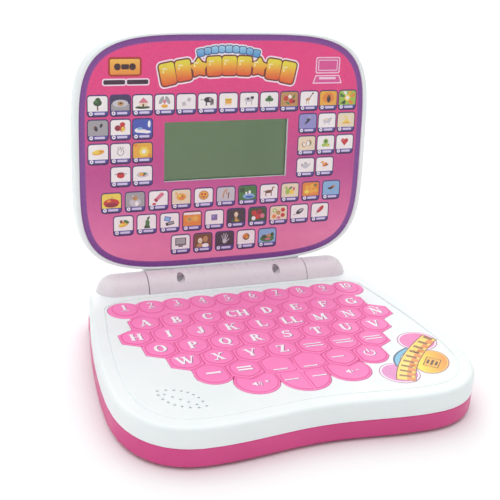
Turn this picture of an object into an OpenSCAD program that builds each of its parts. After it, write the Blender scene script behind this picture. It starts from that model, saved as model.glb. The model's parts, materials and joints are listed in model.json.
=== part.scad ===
// Toy laptop computer for small children: a two-part base with a honeycomb keyboard,
// and a lid with a picture card and a small display, joined by a fat hinge barrel.
// Millimetres, +X to the user's right, +Y to the back, +Z up. The feet stand on z = 0.
// The origin is under the middle of the whole toy with its lid at rest.

/* [Base] */
// Width across the bulging sides
base_w = 235; // [225:1:245]
// Depth from the front crests to the rear wall
base_d = 197.5; // [196:0.5:202]
// How far the middle of the front edge curves in behind its two crests
front_dip = 4.7; // [0:0.1:8]
// How much each side draws in towards the hinge
side_narrowing = 14.2; // [8:0.1:18]
// Height of the rest plane's feet
foot_h = 1.3; // [1:0.1:2]
// Height of the seam between the lower and the upper shell
seam_z = 12.2; // [12:0.1:12.4]
// Height of the upper shell's rim
rim_z = 27.6; // [27.4:0.1:27.8]
// Depth of the shallow recess that the closed lid sits over
deck_step = 0.4; // [0.3:0.1:0.6]
// Wall of the upper shell
wall = 2.2; // [2:0.1:2.4]

/* [Keys] */
// Distance between neighbouring letter keys
pitch = 21.5; // [21:0.1:21.8]
// Distance between rows of letter keys
row_pitch = 18.15; // [17.8:0.05:18.4]
// Distance between neighbouring number keys
number_pitch = 18.5; // [18:0.1:19]
// Slit between neighbouring keys
key_slit = 0.7; // [0.6:0.1:1]
// Height of the key tops at rest
key_top = 28; // [27.9:0.1:28]
// Travel of a key
key_travel = 0.8; // [0.6:0.1:0.8]

/* [Lid] */
// Width of the lid
lid_w = 218; // [214:1:222]
// Height of the lid plate
lid_h = 167.2; // [164:0.2:169]
// Thickness of the lid plate
lid_t = 11.5; // [11:0.1:12]
// Opening angle at rest, where 0 is closed
rest_open = 95; // [90:1:110]
// Width of the display opening
lcd_w = 92; // [80:1:96]
// Height of the display opening
lcd_h = 41.8; // [36:0.2:44]

/* [Hinge] */
// Radius of the hinge barrel
barrel_r = 13; // [12.5:0.1:13]
// Half length of the lid's part of the barrel
barrel_half = 60.2; // [56:0.2:62]
// Reach of each domed barrel end from the middle
barrel_reach = 95.5; // [94:0.5:97]
// Height of the hinge axis
hinge_z = 25.9; // [25.9:0.1:26.1]

/* [Hidden] */
$fn = 48;
lean = rest_open - 90;
front_reach = 184.4;
lid_foot = 12.3;
lid_face = 2.3;
lid_back_y = lid_face + lid_t;
edge_step = 2;
lid_top = lid_foot + lid_h;
lid_reach = lid_back_y * cos(lean) + (lid_top - edge_step) * sin(lean);
hinge_y = (front_reach - lid_reach) / 2;
front_y = hinge_y - front_reach;
deck_z = rim_z - deck_step;
rim_w = 9.6;
recess_back = hinge_y - 16;
plate_under = 25;
row_a_y = hinge_y - 55.3;
number_y = hinge_y - 33.5;
number_r = 12;
hex_apex = row_pitch * 2 / 3;
hex_side = row_pitch / 3;
key_under = 24.4;
stem_r = 3.5;
collar_r = 4.2;
collar_z = 20.2;
guide_z = 21;
guide_t = 1.6;
board_z = 16;
board_t = 1.6;
sheet_t = 0.8;
dome_top = collar_z - key_travel - 0.2;
screw_r = 1.3;
screw_head_r = 2.5;
screw_head_h = 1.6;
screw_long = 9;
screw_short = 6;
pilot_r = 1.35;
boss_r = 3.5;
case_seat_z = 8;
boss_split_z = 10;
barrel_clear = 0.3;
barrel_wall = 2.2;
trough_wall = 1.8;
knuckle_start = barrel_half + 0.5;
pin_r = 4;
pin_play = 0.06;
cell_r = 5.25;
cell_l = 44.5;
cell_step = 11;
cell_z = 9.2;
pack_y = row_a_y - 1.5 * row_pitch;
door_w = 58;
door_d = 46;
door_t = 2.2;
floor_t = 2.2;
floor_top = foot_h + floor_t;
door_seat_z = foot_h + 1.6;
speaker_x = -79.5;
speaker_y = hinge_y - 150.6;
speaker_r = 16;
lid_split = 7.5;
card_y = 3.3;
card_t = 0.5;
lcd_z = 97.6;
lid_mid_z = lid_foot + lid_h / 2;
card_side = 3.8;
card_edge = 1.8;
barrel_screw_x = 36.5;
barrel_screw_z = 9;
barrel_seat_y = -4;

WHITE = "#f3f8f8";
PINK = "#fa7db9";
MAGENTA = "#c8417d";
STEEL = "#b8bcc0";

// Each row of hexagonal keys: names, first column and row number counted from the back
HEX_ROWS = [
    [["key_a", "key_b", "key_c", "key_ch", "key_d", "key_e", "key_f", "key_g"], -3.5, 0],
    [["key_h", "key_i", "key_j", "key_k", "key_l", "key_ll", "key_m", "key_n", "key_n_tilde"], -4, 1],
    [["key_o", "key_p", "key_q", "key_r", "key_s", "key_t", "key_u", "key_v"], -3.5, 2],
    [["key_w", "key_x", "key_y", "key_z", "key_f1", "key_f2", "key_f3"], -3, 3],
];
HEX_KEYS = [for (row = HEX_ROWS) for (i = [0:len(row[0]) - 1]) [row[0][i], cell_at(row[1] + i, row[2])]];
DEMO_AT = cell_at(-2.5, 4);
F4_AT = cell_at(-1.5, 4);
PAD_LEFT = cell_at(-0.5, 4);
PAD_RIGHT = cell_at(0.5, 4);
F7_AT = cell_at(1.5, 4);
POWER_AT = cell_at(2.5, 4);
PAD_LOBE = cell_at(0, 5.02);
VOLUME_X = 1.42 * pitch;
VOLUME_Y = cell_at(0, 4.9)[1];
LOBE_R = 12.2;
LOBE_SHIFT = [1.1, -1.2];
PAD_STEMS = [cell_at(-0.5, 4.1), cell_at(0.5, 4.1), cell_at(-0.38, 5.1), cell_at(0.38, 5.1)];

BASE_NODES = ["base_bottom", "base_top", "battery_door", "base_screws", "batteries",
    "battery_contacts", "main_board", "key_guide", "dome_sheet", "speaker", "rubber_feet",
    "flower_sticker", "hinge_pins"];
LID_NODES = ["lid_front", "lid_back", "picture_card", "lcd_window", "lcd_panel", "lcd_board",
    "lid_screws"];
SPECIAL_KEYS = ["key_demo", "key_f4", "key_pad", "key_f7", "key_power", "key_volume_up",
    "key_volume_down", "number_keys"];

// ---------- outlines ----------

function cell_at(column, row) = [column * pitch, row_a_y - row * row_pitch];

// Whole outline from its right half, which runs from the front to the back
function mirrored(half) = concat(half,
    [for (i = [len(half) - 1:-1:0]) if (half[i][0] > 0.01) [-half[i][0], half[i][1]]]);

// Moves each point of a counter-clockwise outline inwards by d
function inset(pts, d) = let (n = len(pts)) [for (i = [0:n - 1])
    let (t = pts[(i + 1) % n] - pts[(i + n - 1) % n]) pts[i] + d * [-t[1], t[0]] / norm(t)];

// Right half of the base: front wave, front corner, drawn-in side, rear corner
function base_half() = let (
    half_w = base_w / 2, crest_x = 66.5, widest = 59.6, side = 109.7, rear_flat = 73,
    full = 2 / 2.45, rear_y = widest + side, rear_w = half_w - side_narrowing)
    concat(
        [for (i = [0:7]) [crest_x * i / 8, front_dip * (1 + cos(180 * i / 8)) / 2]],
        [for (a = [0:8:88])
            [crest_x + (half_w - crest_x) * pow(sin(a), full), widest * (1 - pow(cos(a), full))]],
        [for (i = [0:7]) [half_w - side_narrowing * pow(i / 8, 1.6), widest + side * i / 8]],
        [for (a = [0:10:90]) [rear_flat + (rear_w - rear_flat) * pow(cos(a), 0.9),
            rear_y + (base_d - rear_y) * pow(sin(a), 0.9)]]);

function base_outline(d) = [for (p = inset(mirrored(base_half()), d)) p + [0, front_y]];

// Rounded rectangle with bulging sides, as a superellipse about the origin
function bulged(half_w, half_h, power) = [for (a = [0:5:355])
    [half_w * signed_root(cos(a), power), half_h * signed_root(sin(a), power)]];

function signed_root(value, power) = sign(value) * pow(abs(value), 2 / power);

function ellipse(rx, ry) = [for (a = [0:10:350]) [rx * cos(a), ry * sin(a)]];

// Pointy-top hexagon that fills its cell, drawn in by g
function hexagon(g) = let (s = hex_side - g / 2, x = pitch / 2 - g, y = hex_apex - g * 1.15)
    [[0, y], [-x, s], [-x, -s], [0, -y], [x, -s], [x, s]];

// Outline shared by the circuit board, the dome sheet and the key guide
function board_half() = let (y = function (row) row_a_y - row * row_pitch)
    [[2.25 * pitch, y(6.1)], [2.75 * pitch, y(5.85)], [3 * pitch, y(4.35)], [4.4 * pitch, y(3.3)],
     [4.85 * pitch, y(1.5)], [4.85 * pitch, y(-0.6)], [4.7 * pitch, y(-1.65)], [4.2 * pitch, y(-1.95)]];

// ---------- shared shapes ----------

module base_slab(z0, z1, d) translate([0, 0, z0]) linear_extrude(z1 - z0) polygon(base_outline(d));

module hex_cell(at, g) translate(at) polygon(hexagon(g));

module in_lid() translate([0, hinge_y, hinge_z]) rotate([-lean, 0, 0]) children();

// Cylinder along X between x0 and x1
module bar_x(x0, x1, r) translate([x0, 0, 0]) rotate([0, 90, 0]) cylinder(h = x1 - x0, r = r);

// Cylinder along the lid's thickness between y0 and y1
module bar_y(at, y0, y1, r) translate([at[0], y1, at[1]]) rotate([90, 0, 0]) cylinder(h = y1 - y0, r = r);

// Lid plate layer between y0 and y1, drawn in by d all round
module lid_slab(y0, y1, d) translate([0, y1, lid_mid_z]) rotate([90, 0, 0])
    linear_extrude(y1 - y0) polygon(inset(bulged(lid_w / 2, lid_h / 2, 4.4), d));

// Layer with the picture card's outline between y0 and y1, drawn in by d all round
module card_slab(y0, y1, d) translate([0, y1, lid_mid_z]) rotate([90, 0, 0]) linear_extrude(y1 - y0)
    polygon(inset(bulged(lid_w / 2 - card_side, lid_h / 2 - card_edge, 4.5), d));

module box_y(w, h, y0, y1, z) translate([-w / 2, y0, z - h / 2]) cube([w, y1 - y0, h]);

// Pan-head screw pointing along +Z with the underside of its head at z = 0
module screw(length) {
    difference() {
        translate([0, 0, -screw_head_h]) cylinder(h = screw_head_h, r = screw_head_r);
        for (turn = [0, 90]) rotate([0, 0, turn])
            translate([-1.5, -0.3, -screw_head_h - 0.1]) cube([3, 0.6, 0.9]);
    }
    cylinder(h = length - 1, r = screw_r);
    translate([0, 0, length - 1]) cylinder(h = 1, r1 = screw_r, r2 = 0.5);
}

// Places of the screws that join the two shells
CASE_SCREWS = [for (side = [-1, 1]) each [[side * 105.5, front_y + 44.5], [side * 94.5, hinge_y - 15.5],
    [side * 32, front_y + 12.5]]];

// Places of the screws that hold the board and the key guide up against the deck
BOARD_SCREWS = [for (side = [-1, 1]) each [[side * 98.5, row_a_y + 2],
    [side * 88.5, row_a_y - 2.95 * row_pitch], [side * 53.5, row_a_y - 5.6 * row_pitch]]];

DOOR_SCREW = [0, pack_y + 27.5];

// Centres of all key stems
NUMBER_STEMS = [for (i = [0:9]) [(i - 4.5) * number_pitch, number_y + 1]];
STEMS = concat([for (k = HEX_KEYS) k[1]], [DEMO_AT, F4_AT, F7_AT, POWER_AT], PAD_STEMS,
    [for (side = [-1, 1]) [side * VOLUME_X, VOLUME_Y - 2]], NUMBER_STEMS);

// ---------- key outlines, each drawn in by g from its full cell ----------

module end_lobe(at, side, g) {
    hex_cell(at, g);
    difference() {
        translate(at + [side * LOBE_SHIFT[0], LOBE_SHIFT[1]]) circle(LOBE_R - g);
        hex_cell(at + [pitch * side, 0], -g);
        hex_cell(at + [pitch / 2, row_pitch], -g);
        hex_cell(at + [-pitch / 2, row_pitch], -g);
    }
}

module pad_plan(g) difference() {
    union() {
        hex_cell(PAD_LEFT, g);
        hex_cell(PAD_RIGHT, g);
        translate(PAD_LOBE) polygon(ellipse(16.2 - g, 15.5 - g));
        translate([g - 16.2, PAD_LOBE[1]]) square([32.4 - 2 * g, row_pitch]);
    }
    hex_cell(F4_AT, -g);
    hex_cell(F7_AT, -g);
    hex_cell(cell_at(0, 3), -g);
}

// Round volume key with the pointed corner that fills the gap towards the pad
module volume_blank(side, g) translate([side * VOLUME_X, VOLUME_Y]) {
    polygon(ellipse(14.4 - g, 14 - g));
    mirror([side < 0 ? 1 : 0, 0]) translate([g - 15, 0]) square([8 - g, 10 - g]);
}

module volume_plan(side, g) difference() {
    volume_blank(side, g);
    hex_cell(side < 0 ? F4_AT : F7_AT, -g);
    end_lobe(side < 0 ? DEMO_AT : POWER_AT, -side, -g);
    pad_plan(-g);
}

module number_plan(g) difference() {
    union() {
        for (i = [0:9]) translate([(i - 4.5) * number_pitch, number_y]) circle(number_r - g);
        translate([-4.5 * number_pitch, row_a_y + hex_side])
            square([9 * number_pitch, number_y - row_a_y - hex_side]);
    }
    for (i = [0:7]) hex_cell(cell_at(i - 3.5, 0), -g);
}

// The whole keyboard's outline, used for the hole in the deck
module keyboard_plan(g) {
    for (k = HEX_KEYS) hex_cell(k[1], g);
    for (at = [F4_AT, F7_AT]) hex_cell(at, g);
    end_lobe(DEMO_AT, 1, g);
    end_lobe(POWER_AT, -1, g);
    pad_plan(g);
    for (side = [-1, 1]) volume_blank(side, g);
    for (i = [0:9]) translate([(i - 4.5) * number_pitch, number_y]) circle(number_r - g);
    translate([-4.5 * number_pitch, row_a_y]) square([9 * number_pitch, number_y - row_a_y]);
}

// ---------- keys ----------

module stem(at) translate([at[0], at[1], 0]) {
    translate([0, 0, collar_z]) cylinder(h = key_under - collar_z, r = stem_r);
    translate([0, 0, collar_z]) cylinder(h = 0.6, r = collar_r);
}

module cap(z0, z1) translate([0, 0, z0]) linear_extrude(z1 - z0) children();

module hex_key(at) color(PINK) {
    cap(key_under, key_top - 0.3) hex_cell(at, key_slit / 2);
    cap(key_top - 0.3, key_top) hex_cell(at, 1.6);
    stem(at);
}

module key_demo() color(PINK) {
    cap(key_under, key_top - 0.3) end_lobe(DEMO_AT, 1, key_slit / 2);
    cap(key_top - 0.3, key_top) end_lobe(DEMO_AT, 1, 1.6);
    stem(DEMO_AT);
}

module key_power() color(PINK) {
    cap(key_under, key_top - 0.3) end_lobe(POWER_AT, -1, key_slit / 2);
    cap(key_top - 0.3, key_top) end_lobe(POWER_AT, -1, 1.6);
    stem(POWER_AT);
}

module volume_key(side) color(PINK) {
    cap(key_under, key_top - 0.3) volume_plan(side, key_slit / 2);
    cap(key_top - 0.3, key_top) volume_plan(side, 1.6);
    stem([side * VOLUME_X, VOLUME_Y - 2]);
}

// Four function keys moulded as one pad, with a cross of grooves between them
module key_pad() color(PINK) {
    difference() {
        cap(key_under, key_top) pad_plan(key_slit / 2);
        translate([-0.3, PAD_LOBE[1] - 20, key_top - 0.5]) cube([0.6, 50, 1]);
        translate([-25, PAD_LOBE[1] + 6, key_top - 0.5]) cube([50, 0.6, 1]);
    }
    for (at = PAD_STEMS) stem(at);
}

module number_keys() color(PINK) {
    difference() {
        cap(key_under, key_top) number_plan(key_slit / 2);
        for (i = [0:8]) translate([(i - 4) * number_pitch - 0.3, number_y - 14, key_top - 0.5])
            cube([0.6, 28, 1]);
    }
    for (at = NUMBER_STEMS) stem(at);
}

// ---------- base ----------

// Hollow post between z0 and z1
module post(at, z0, z1, hole_top) translate([at[0], at[1], 0]) difference() {
    translate([0, 0, z0]) cylinder(h = z1 - z0, r = boss_r);
    translate([0, 0, z0 - 1]) cylinder(h = hole_top - z0 + 1, r = pilot_r);
}

// Battery box with its ledge for the door, and the block that takes the door's screw
module battery_box() translate([0, pack_y, 0]) {
    translate([-door_w / 2 - 1.5, -21, floor_top - 0.2]) cube([door_w + 3, 54.5, 1.6]);
    translate([-27, -19.5, floor_top]) cube([54, 39, 15.6 - floor_top]);
    translate([-6, 19, floor_top]) cube([12, 13.5, 11 - floor_top]);
}

module case_boss(at) translate([at[0], at[1], 0]) difference() {
    translate([0, 0, floor_top - 0.5]) cylinder(h = boss_split_z - floor_top + 0.5, r = boss_r + 0.7);
    cylinder(h = case_seat_z, r = screw_head_r + 0.3);
    cylinder(h = boss_split_z + 1, r = screw_r + 0.15);
}

module base_bottom() color(MAGENTA) {
    difference() {
        union() {
            difference() {
                union() {
                    base_slab(foot_h, foot_h + 0.8, 1.6);
                    base_slab(foot_h + 0.8, foot_h + 2, 0.5);
                    base_slab(foot_h + 2, seam_z, 0);
                    base_slab(seam_z, seam_z + 1.6, wall + 0.15);
                }
                base_slab(floor_top, seam_z + 2, wall + 1.2);
            }
            battery_box();
        }
        translate([-25.4, pack_y - 17.9, 0]) cube([50.8, 35.8, 14.6]);
        translate([-door_w / 2, pack_y - 19.5, 0]) cube([door_w, door_d + 5.5, floor_top + 0.1]);
        translate([DOOR_SCREW[0], DOOR_SCREW[1], 0]) cylinder(h = 10.5, r = pilot_r);
        for (at = CASE_SCREWS) translate([at[0], at[1], 0])
            cylinder(h = floor_top + 1, r = screw_head_r + 0.3);
    }
    for (at = CASE_SCREWS) case_boss(at);
}

module base_top() color(WHITE) {
    difference() {
        union() {
            difference() {
                union() {
                    base_slab(seam_z, rim_z - 2.6, 0);
                    base_slab(rim_z - 2.6, rim_z - 1, 0.6);
                    base_slab(rim_z - 1, rim_z, 2);
                }
                base_slab(seam_z - 1, plate_under, wall);
                deck_recess();
                translate([0, 0, plate_under - 1]) linear_extrude(6) keyboard_plan(-0.35);
                speaker_holes();
            }
            trough();
            for (side = [-1, 1]) knuckle(side);
            for (at = CASE_SCREWS) post(at, boss_split_z, plate_under + 0.1, case_seat_z + screw_long + 1);
            for (at = BOARD_SCREWS) post(at, guide_z + guide_t, plate_under + 0.1, plate_under);
        }
        translate([0, hinge_y, hinge_z]) bar_x(-knuckle_start, knuckle_start, barrel_r + barrel_clear);
        translate([-knuckle_start, hinge_y, hinge_z - 7.4]) cube([2 * knuckle_start, 20, 20]);
        for (side = [-1, 1]) knuckle_hollow(side);
    }
    for (side = [-1, 1]) pin_boss(side);
}

// Shallow recess that follows the rim and ends with round corners in front of the barrel
module deck_recess() intersection() {
    base_slab(deck_z, rim_z + 1, rim_w);
    translate([0, recess_back - 150, deck_z - 1]) linear_extrude(4) polygon(bulged(109, 150, 7));
}

module speaker_hole(along, across) translate([speaker_x, speaker_y, 0]) rotate([0, 0, -45])
    translate([along, across, plate_under - 1]) cylinder(h = 5, r = 0.8, $fn = 24);

// Leaf of small holes over the loudspeaker: two bowed rows with a short row between them
module speaker_holes() {
    for (i = [-4:4]) speaker_hole(4 * i, 7.9 * (1 - pow(4 * i / 16.3, 2)));
    for (i = [-3:3]) speaker_hole(4.4 * i, -7.85 * (1 - pow(4.4 * i / 17.6, 2)));
    for (i = [-2:2]) speaker_hole(5.25 * i, -1);
}

// Curved wall under the lid's part of the barrel
module trough() translate([0, hinge_y, hinge_z]) difference() {
    bar_x(-knuckle_start, knuckle_start, barrel_r + barrel_clear + trough_wall);
    bar_x(-knuckle_start - 1, knuckle_start + 1, barrel_r + barrel_clear);
    translate([-100, -30, deck_z - hinge_z - 0.4]) cube([200, 60, 40]);
    translate([-100, 9, -30]) cube([200, 30, 60]);
}

module knuckle(side) translate([0, hinge_y, hinge_z]) mirror([side < 0 ? 1 : 0, 0, 0]) {
    bar_x(knuckle_start, barrel_reach - barrel_r, barrel_r);
    translate([barrel_reach - barrel_r, 0, 0]) sphere(barrel_r);
}

module knuckle_hollow(side) translate([0, hinge_y, hinge_z]) mirror([side < 0 ? 1 : 0, 0, 0]) {
    bar_x(knuckle_start + 2.2, barrel_reach - barrel_r, barrel_r - barrel_wall);
    translate([barrel_reach - barrel_r, 0, 0]) sphere(barrel_r - barrel_wall);
    bar_x(knuckle_start - 1, knuckle_start + 3, pin_r);
}

module pin_boss(side) translate([0, hinge_y, hinge_z]) mirror([side < 0 ? 1 : 0, 0, 0]) difference() {
    bar_x(knuckle_start + 2.1, knuckle_start + 11, pin_r + 2);
    bar_x(knuckle_start - 1, knuckle_start + 12, pin_r);
}

module battery_door() color(MAGENTA) difference() {
    union() {
        translate([-door_w / 2 + 0.4, pack_y - 19.1, foot_h]) cube([door_w - 0.8, door_d + 4.7, door_t]);
        for (row = [-1, 1]) translate([-20, pack_y + row * cell_step / 2 - 0.6, floor_top - 0.1])
            cube([40, 1.2, 1.4]);
    }
    translate([DOOR_SCREW[0], DOOR_SCREW[1], 0]) cylinder(h = 9, r = screw_r + 0.15);
    translate([DOOR_SCREW[0], DOOR_SCREW[1], 0]) cylinder(h = door_seat_z, r = screw_head_r + 0.3);
    for (i = [-2:2]) translate([i * 3 - 0.5, pack_y - 15, foot_h - 0.1]) cube([1, 9, 0.6]);
}

module base_screws() color(STEEL) {
    for (at = CASE_SCREWS) translate([at[0], at[1], case_seat_z]) screw(screw_long);
    for (at = BOARD_SCREWS) translate([at[0], at[1], board_z]) screw(screw_long);
    translate([DOOR_SCREW[0], DOOR_SCREW[1], door_seat_z]) screw(screw_short);
}

module batteries() color("#3d6fb5") for (row = [-1:1]) translate([0, pack_y + row * cell_step, cell_z]) {
    flip = row == 0 ? 180 : 0;
    rotate([0, 0, flip]) {
        bar_x(-cell_l / 2, cell_l / 2 - 0.8, cell_r - 0.05);
        bar_x(cell_l / 2 - 0.9, cell_l / 2 + 0.4, 1.9);
    }
}

// A flat plate behind each cap end and a cone of wire, drawn closed, at each flat end
module battery_contacts() color(STEEL) for (row = [-1:1], end = [-1, 1])
    translate([0, pack_y + row * cell_step, cell_z]) mirror([end < 0 ? 1 : 0, 0, 0]) {
        cap_end = row == 0 ? end < 0 : end > 0;
        translate([24.9, -4.5, -4.5]) cube([0.5, 9, 9]);
        if (cap_end) bar_x(cell_l / 2 + 0.4, 25, 1.6);
        else translate([cell_l / 2, 0, 0]) rotate([0, 90, 0])
            cylinder(h = 25 - cell_l / 2, r1 = 2.4, r2 = 4);
    }

module board_plate(z, t, g) translate([0, 0, z]) linear_extrude(t) polygon(inset(mirrored(board_half()), g));

module main_board() color("#2f7d4b") {
    difference() {
        board_plate(board_z, board_t, 0);
        for (at = BOARD_SCREWS) translate([at[0], at[1], board_z - 1]) cylinder(h = 4, r = screw_r + 0.1);
    }
    translate([-72, row_a_y - 28, board_z - 1.6]) cylinder(h = 1.7, r = 7);
    translate([58, row_a_y - 30, board_z - 4]) cylinder(h = 4.1, r = 3);
    translate([68, row_a_y - 30, board_z - 4]) cylinder(h = 4.1, r = 3);
    for (i = [0:5]) translate([50 + 5 * i, row_a_y - 12, board_z - 1]) cube([3, 1.6, 1.1]);
    translate([-60, row_a_y + 6, board_z - 3]) cube([14, 5, 3.1]);
}

module key_guide() color("#e9eef0") difference() {
    union() {
        board_plate(guide_z, guide_t, 0);
        for (at = BOARD_SCREWS) translate([at[0], at[1], board_z + board_t])
            cylinder(h = guide_z - board_z - board_t + 0.1, r = boss_r);
    }
    for (at = STEMS) translate([at[0], at[1], guide_z - 1]) cylinder(h = 4, r = stem_r + 0.1);
    for (at = BOARD_SCREWS) translate([at[0], at[1], board_z]) cylinder(h = 9, r = screw_r + 0.1);
}

module dome_sheet() color("#e8e2dc") {
    difference() {
        board_plate(board_z + board_t, sheet_t, 2.5);
        for (at = BOARD_SCREWS) translate([at[0], at[1], board_z]) cylinder(h = 5, r = boss_r + 0.4);
    }
    for (at = STEMS) translate([at[0], at[1], board_z + board_t + sheet_t - 0.1])
        cylinder(h = dome_top - board_z - board_t - sheet_t + 0.1, r1 = 4.6, r2 = 3);
}

module speaker() translate([speaker_x, speaker_y, 0]) {
    color(STEEL) translate([0, 0, 13]) cylinder(h = 4, r = 8);
    color(STEEL) translate([0, 0, 16.9]) cylinder(h = 5, r1 = 9, r2 = 14.5);
    color("#30343a") difference() {
        translate([0, 0, 21.8]) cylinder(h = 3.1, r = speaker_r);
        translate([0, 0, 23]) cylinder(h = 3, r1 = 9, r2 = 13.5);
    }
}

module rubber_feet() color("#4a4a4e") for (side = [-1, 1]) {
    translate([side * 84, front_y + 30, 0]) cylinder(h = foot_h, r = 6);
    translate([side * 78, front_y + 172, 0]) cylinder(h = foot_h, r = 6);
}

// Printed sticker on the deck: three petals
module flower_sticker() color("#e985bd") translate([0, 0, deck_z]) linear_extrude(0.2) {
    translate([91.9, hinge_y - 120.8]) rotate(14) polygon(ellipse(14, 12.9));
    translate([59.6, hinge_y - 155.9]) rotate(-31) polygon(ellipse(13.1, 12.4));
    translate([86.5, hinge_y - 148]) rotate(49) polygon(ellipse(16.1, 11.6));
    translate([63.5, hinge_y - 159]) rotate(45) square([30, 13.6]);
}

module hinge_pins() color(STEEL) translate([0, hinge_y, hinge_z]) for (side = [-1, 1])
    mirror([side < 0 ? 1 : 0, 0, 0]) difference() {
        bar_x(barrel_half - 9, knuckle_start + 10, pin_r);
        bar_x(barrel_half - 10, knuckle_start + 11, pin_r - 1.5);
    }

// ---------- lid, drawn upright about the hinge axis and then leaned back ----------

LID_POSTS = [for (side = [-1, 1]) each [[side * 88, 36], [side * 84, 160]]];

// The lid's part of the barrel as a tube with end walls and bearing bosses
module barrel() difference() {
    union() {
        difference() {
            bar_x(-barrel_half, barrel_half, barrel_r);
            bar_x(-barrel_half + 2.4, barrel_half - 2.4, barrel_r - barrel_wall);
        }
        for (side = [-1, 1]) mirror([side < 0 ? 1 : 0, 0, 0])
            bar_x(barrel_half - 11, barrel_half - 2.3, pin_r + 2.4);
    }
    for (side = [-1, 1]) mirror([side < 0 ? 1 : 0, 0, 0])
        bar_x(barrel_half - 12, barrel_half + 1, pin_r + pin_play);
}

// Room for the base's barrel ends at the foot of the lid plate
module knuckle_room() for (side = [-1, 1]) mirror([side < 0 ? 1 : 0, 0, 0])
    bar_x(barrel_half, 125, barrel_r + barrel_clear + 0.1);

// Solid neck between the barrel and the plate, from y0 to y1
module neck(y0, y1) difference() {
    translate([-barrel_half, y0, 5]) cube([2 * barrel_half, y1 - y0, barrel_r - 2]);
    bar_x(-barrel_half - 1, barrel_half + 1, barrel_r - 0.5);
}

module lid_front() color(WHITE) in_lid() {
    difference() {
        union() {
            lid_slab(lid_face, lid_face + 0.8, 0.8);
            lid_slab(lid_face + 0.8, lid_split, 0);
        }
        card_slab(lid_face - 1, card_y + card_t, 0);
        difference() {
            lid_slab(card_y + card_t + 2, lid_split + 1, 2);
            box_y(lcd_w + 3.2, lcd_h + 3.2, 0, 20, lcd_z);
            for (at = LID_POSTS) bar_y(at, 0, 20, boss_r);
        }
        box_y(lcd_w, lcd_h, 0, 20, lcd_z);
        for (at = LID_POSTS) bar_y(at, 4.6, 20, pilot_r);
        knuckle_room();
        bar_x(-barrel_half, barrel_half, barrel_r - 0.5);
    }
    difference() {
        union() {
            barrel();
            neck(card_y + card_t, lid_split);
            intersection() {
                for (side = [-1, 1]) bar_y([side * barrel_screw_x, barrel_screw_z], -8, 1, boss_r + 1.2);
                bar_x(-barrel_half, barrel_half, barrel_r - 0.3);
            }
        }
        translate([-100, lid_split, -30]) cube([200, 30, 60]);
        for (side = [-1, 1]) {
            bar_y([side * barrel_screw_x, barrel_screw_z], -20, barrel_seat_y, 3);
            bar_y([side * barrel_screw_x, barrel_screw_z], barrel_seat_y - 1, 3, screw_r + 0.15);
            bar_y([side * barrel_screw_x, barrel_screw_z], 1, 20, boss_r + 0.2);
        }
    }
}

module lid_back() color(WHITE) in_lid() {
    difference() {
        union() {
            lid_slab(lid_split, lid_back_y - 2.6, 0);
            lid_slab(lid_back_y - 2.6, lid_back_y - 1, 0.7);
            lid_slab(lid_back_y - 1, lid_back_y, edge_step);
        }
        difference() {
            lid_slab(lid_split - 1, lid_back_y - 2, 2);
            for (at = LID_POSTS) bar_y(at, 0, 20, boss_r + 1);
        }
        for (at = LID_POSTS) {
            bar_y(at, 11, 20, screw_head_r + 0.3);
            bar_y(at, 0, 20, screw_r + 0.15);
        }
        knuckle_room();
        bar_x(-barrel_half, barrel_half, barrel_r - 0.5);
    }
    difference() {
        union() {
            barrel();
            neck(lid_split, lid_back_y - 2.6);
        }
        translate([-100, lid_split - 60, -30]) cube([200, 60, 60]);
    }
    for (side = [-1, 1]) difference() {
        bar_y([side * barrel_screw_x, barrel_screw_z], 1, lid_split + 2, boss_r);
        bar_y([side * barrel_screw_x, barrel_screw_z], 0, 6, pilot_r);
    }
}

module picture_card() color("#d24b96") in_lid() difference() {
    card_slab(card_y, card_y + card_t, 0.2);
    box_y(lcd_w, lcd_h, 0, 20, lcd_z);
    bar_x(-125, 125, barrel_r + barrel_clear + 0.1);
}

module lcd_window() color("#dfe9e6", 0.35) in_lid() box_y(lcd_w - 0.2, lcd_h - 0.2, 5.6, 6.6, lcd_z);

module lcd_panel() color("#6e8c6e") in_lid() box_y(lcd_w - 0.2, lcd_h - 0.2, 6.7, 8.7, lcd_z);

module lcd_board() color("#2f7d4b") in_lid() {
    box_y(lcd_w - 0.4, lcd_h - 0.4, 8.8, 9.8, lcd_z);
    box_y(60, 4, 9.7, 11.2, lcd_z - 14);
    bar_y([0, lcd_z + 5], 9.7, 10.9, 6);
}

module lid_screws() color(STEEL) in_lid() {
    for (at = LID_POSTS) translate([at[0], 11, at[1]]) rotate([90, 0, 0]) screw(screw_short);
    for (side = [-1, 1]) translate([side * barrel_screw_x, barrel_seat_y, barrel_screw_z])
        rotate([-90, 0, 0]) screw(screw_long);
}

// ---------- drawing ----------

base_bottom();
base_top();
battery_door();
base_screws();
batteries();
battery_contacts();
main_board();
key_guide();
dome_sheet();
speaker();
rubber_feet();
flower_sticker();
hinge_pins();
lid_front();
lid_back();
picture_card();
lcd_window();
lcd_panel();
lcd_board();
lid_screws();
key_demo();
hex_key(F4_AT);  // key_f4
key_pad();
hex_key(F7_AT);  // key_f7
key_power();
volume_key(-1);  // key_volume_up
volume_key(1);  // key_volume_down
number_keys();
for (k = HEX_KEYS) hex_key(k[1]);
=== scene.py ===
import json
import math

import bmesh
import bpy
import numpy as np
from mathutils import Matrix, Vector
from mathutils.geometry import delaunay_2d_cdt

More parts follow.
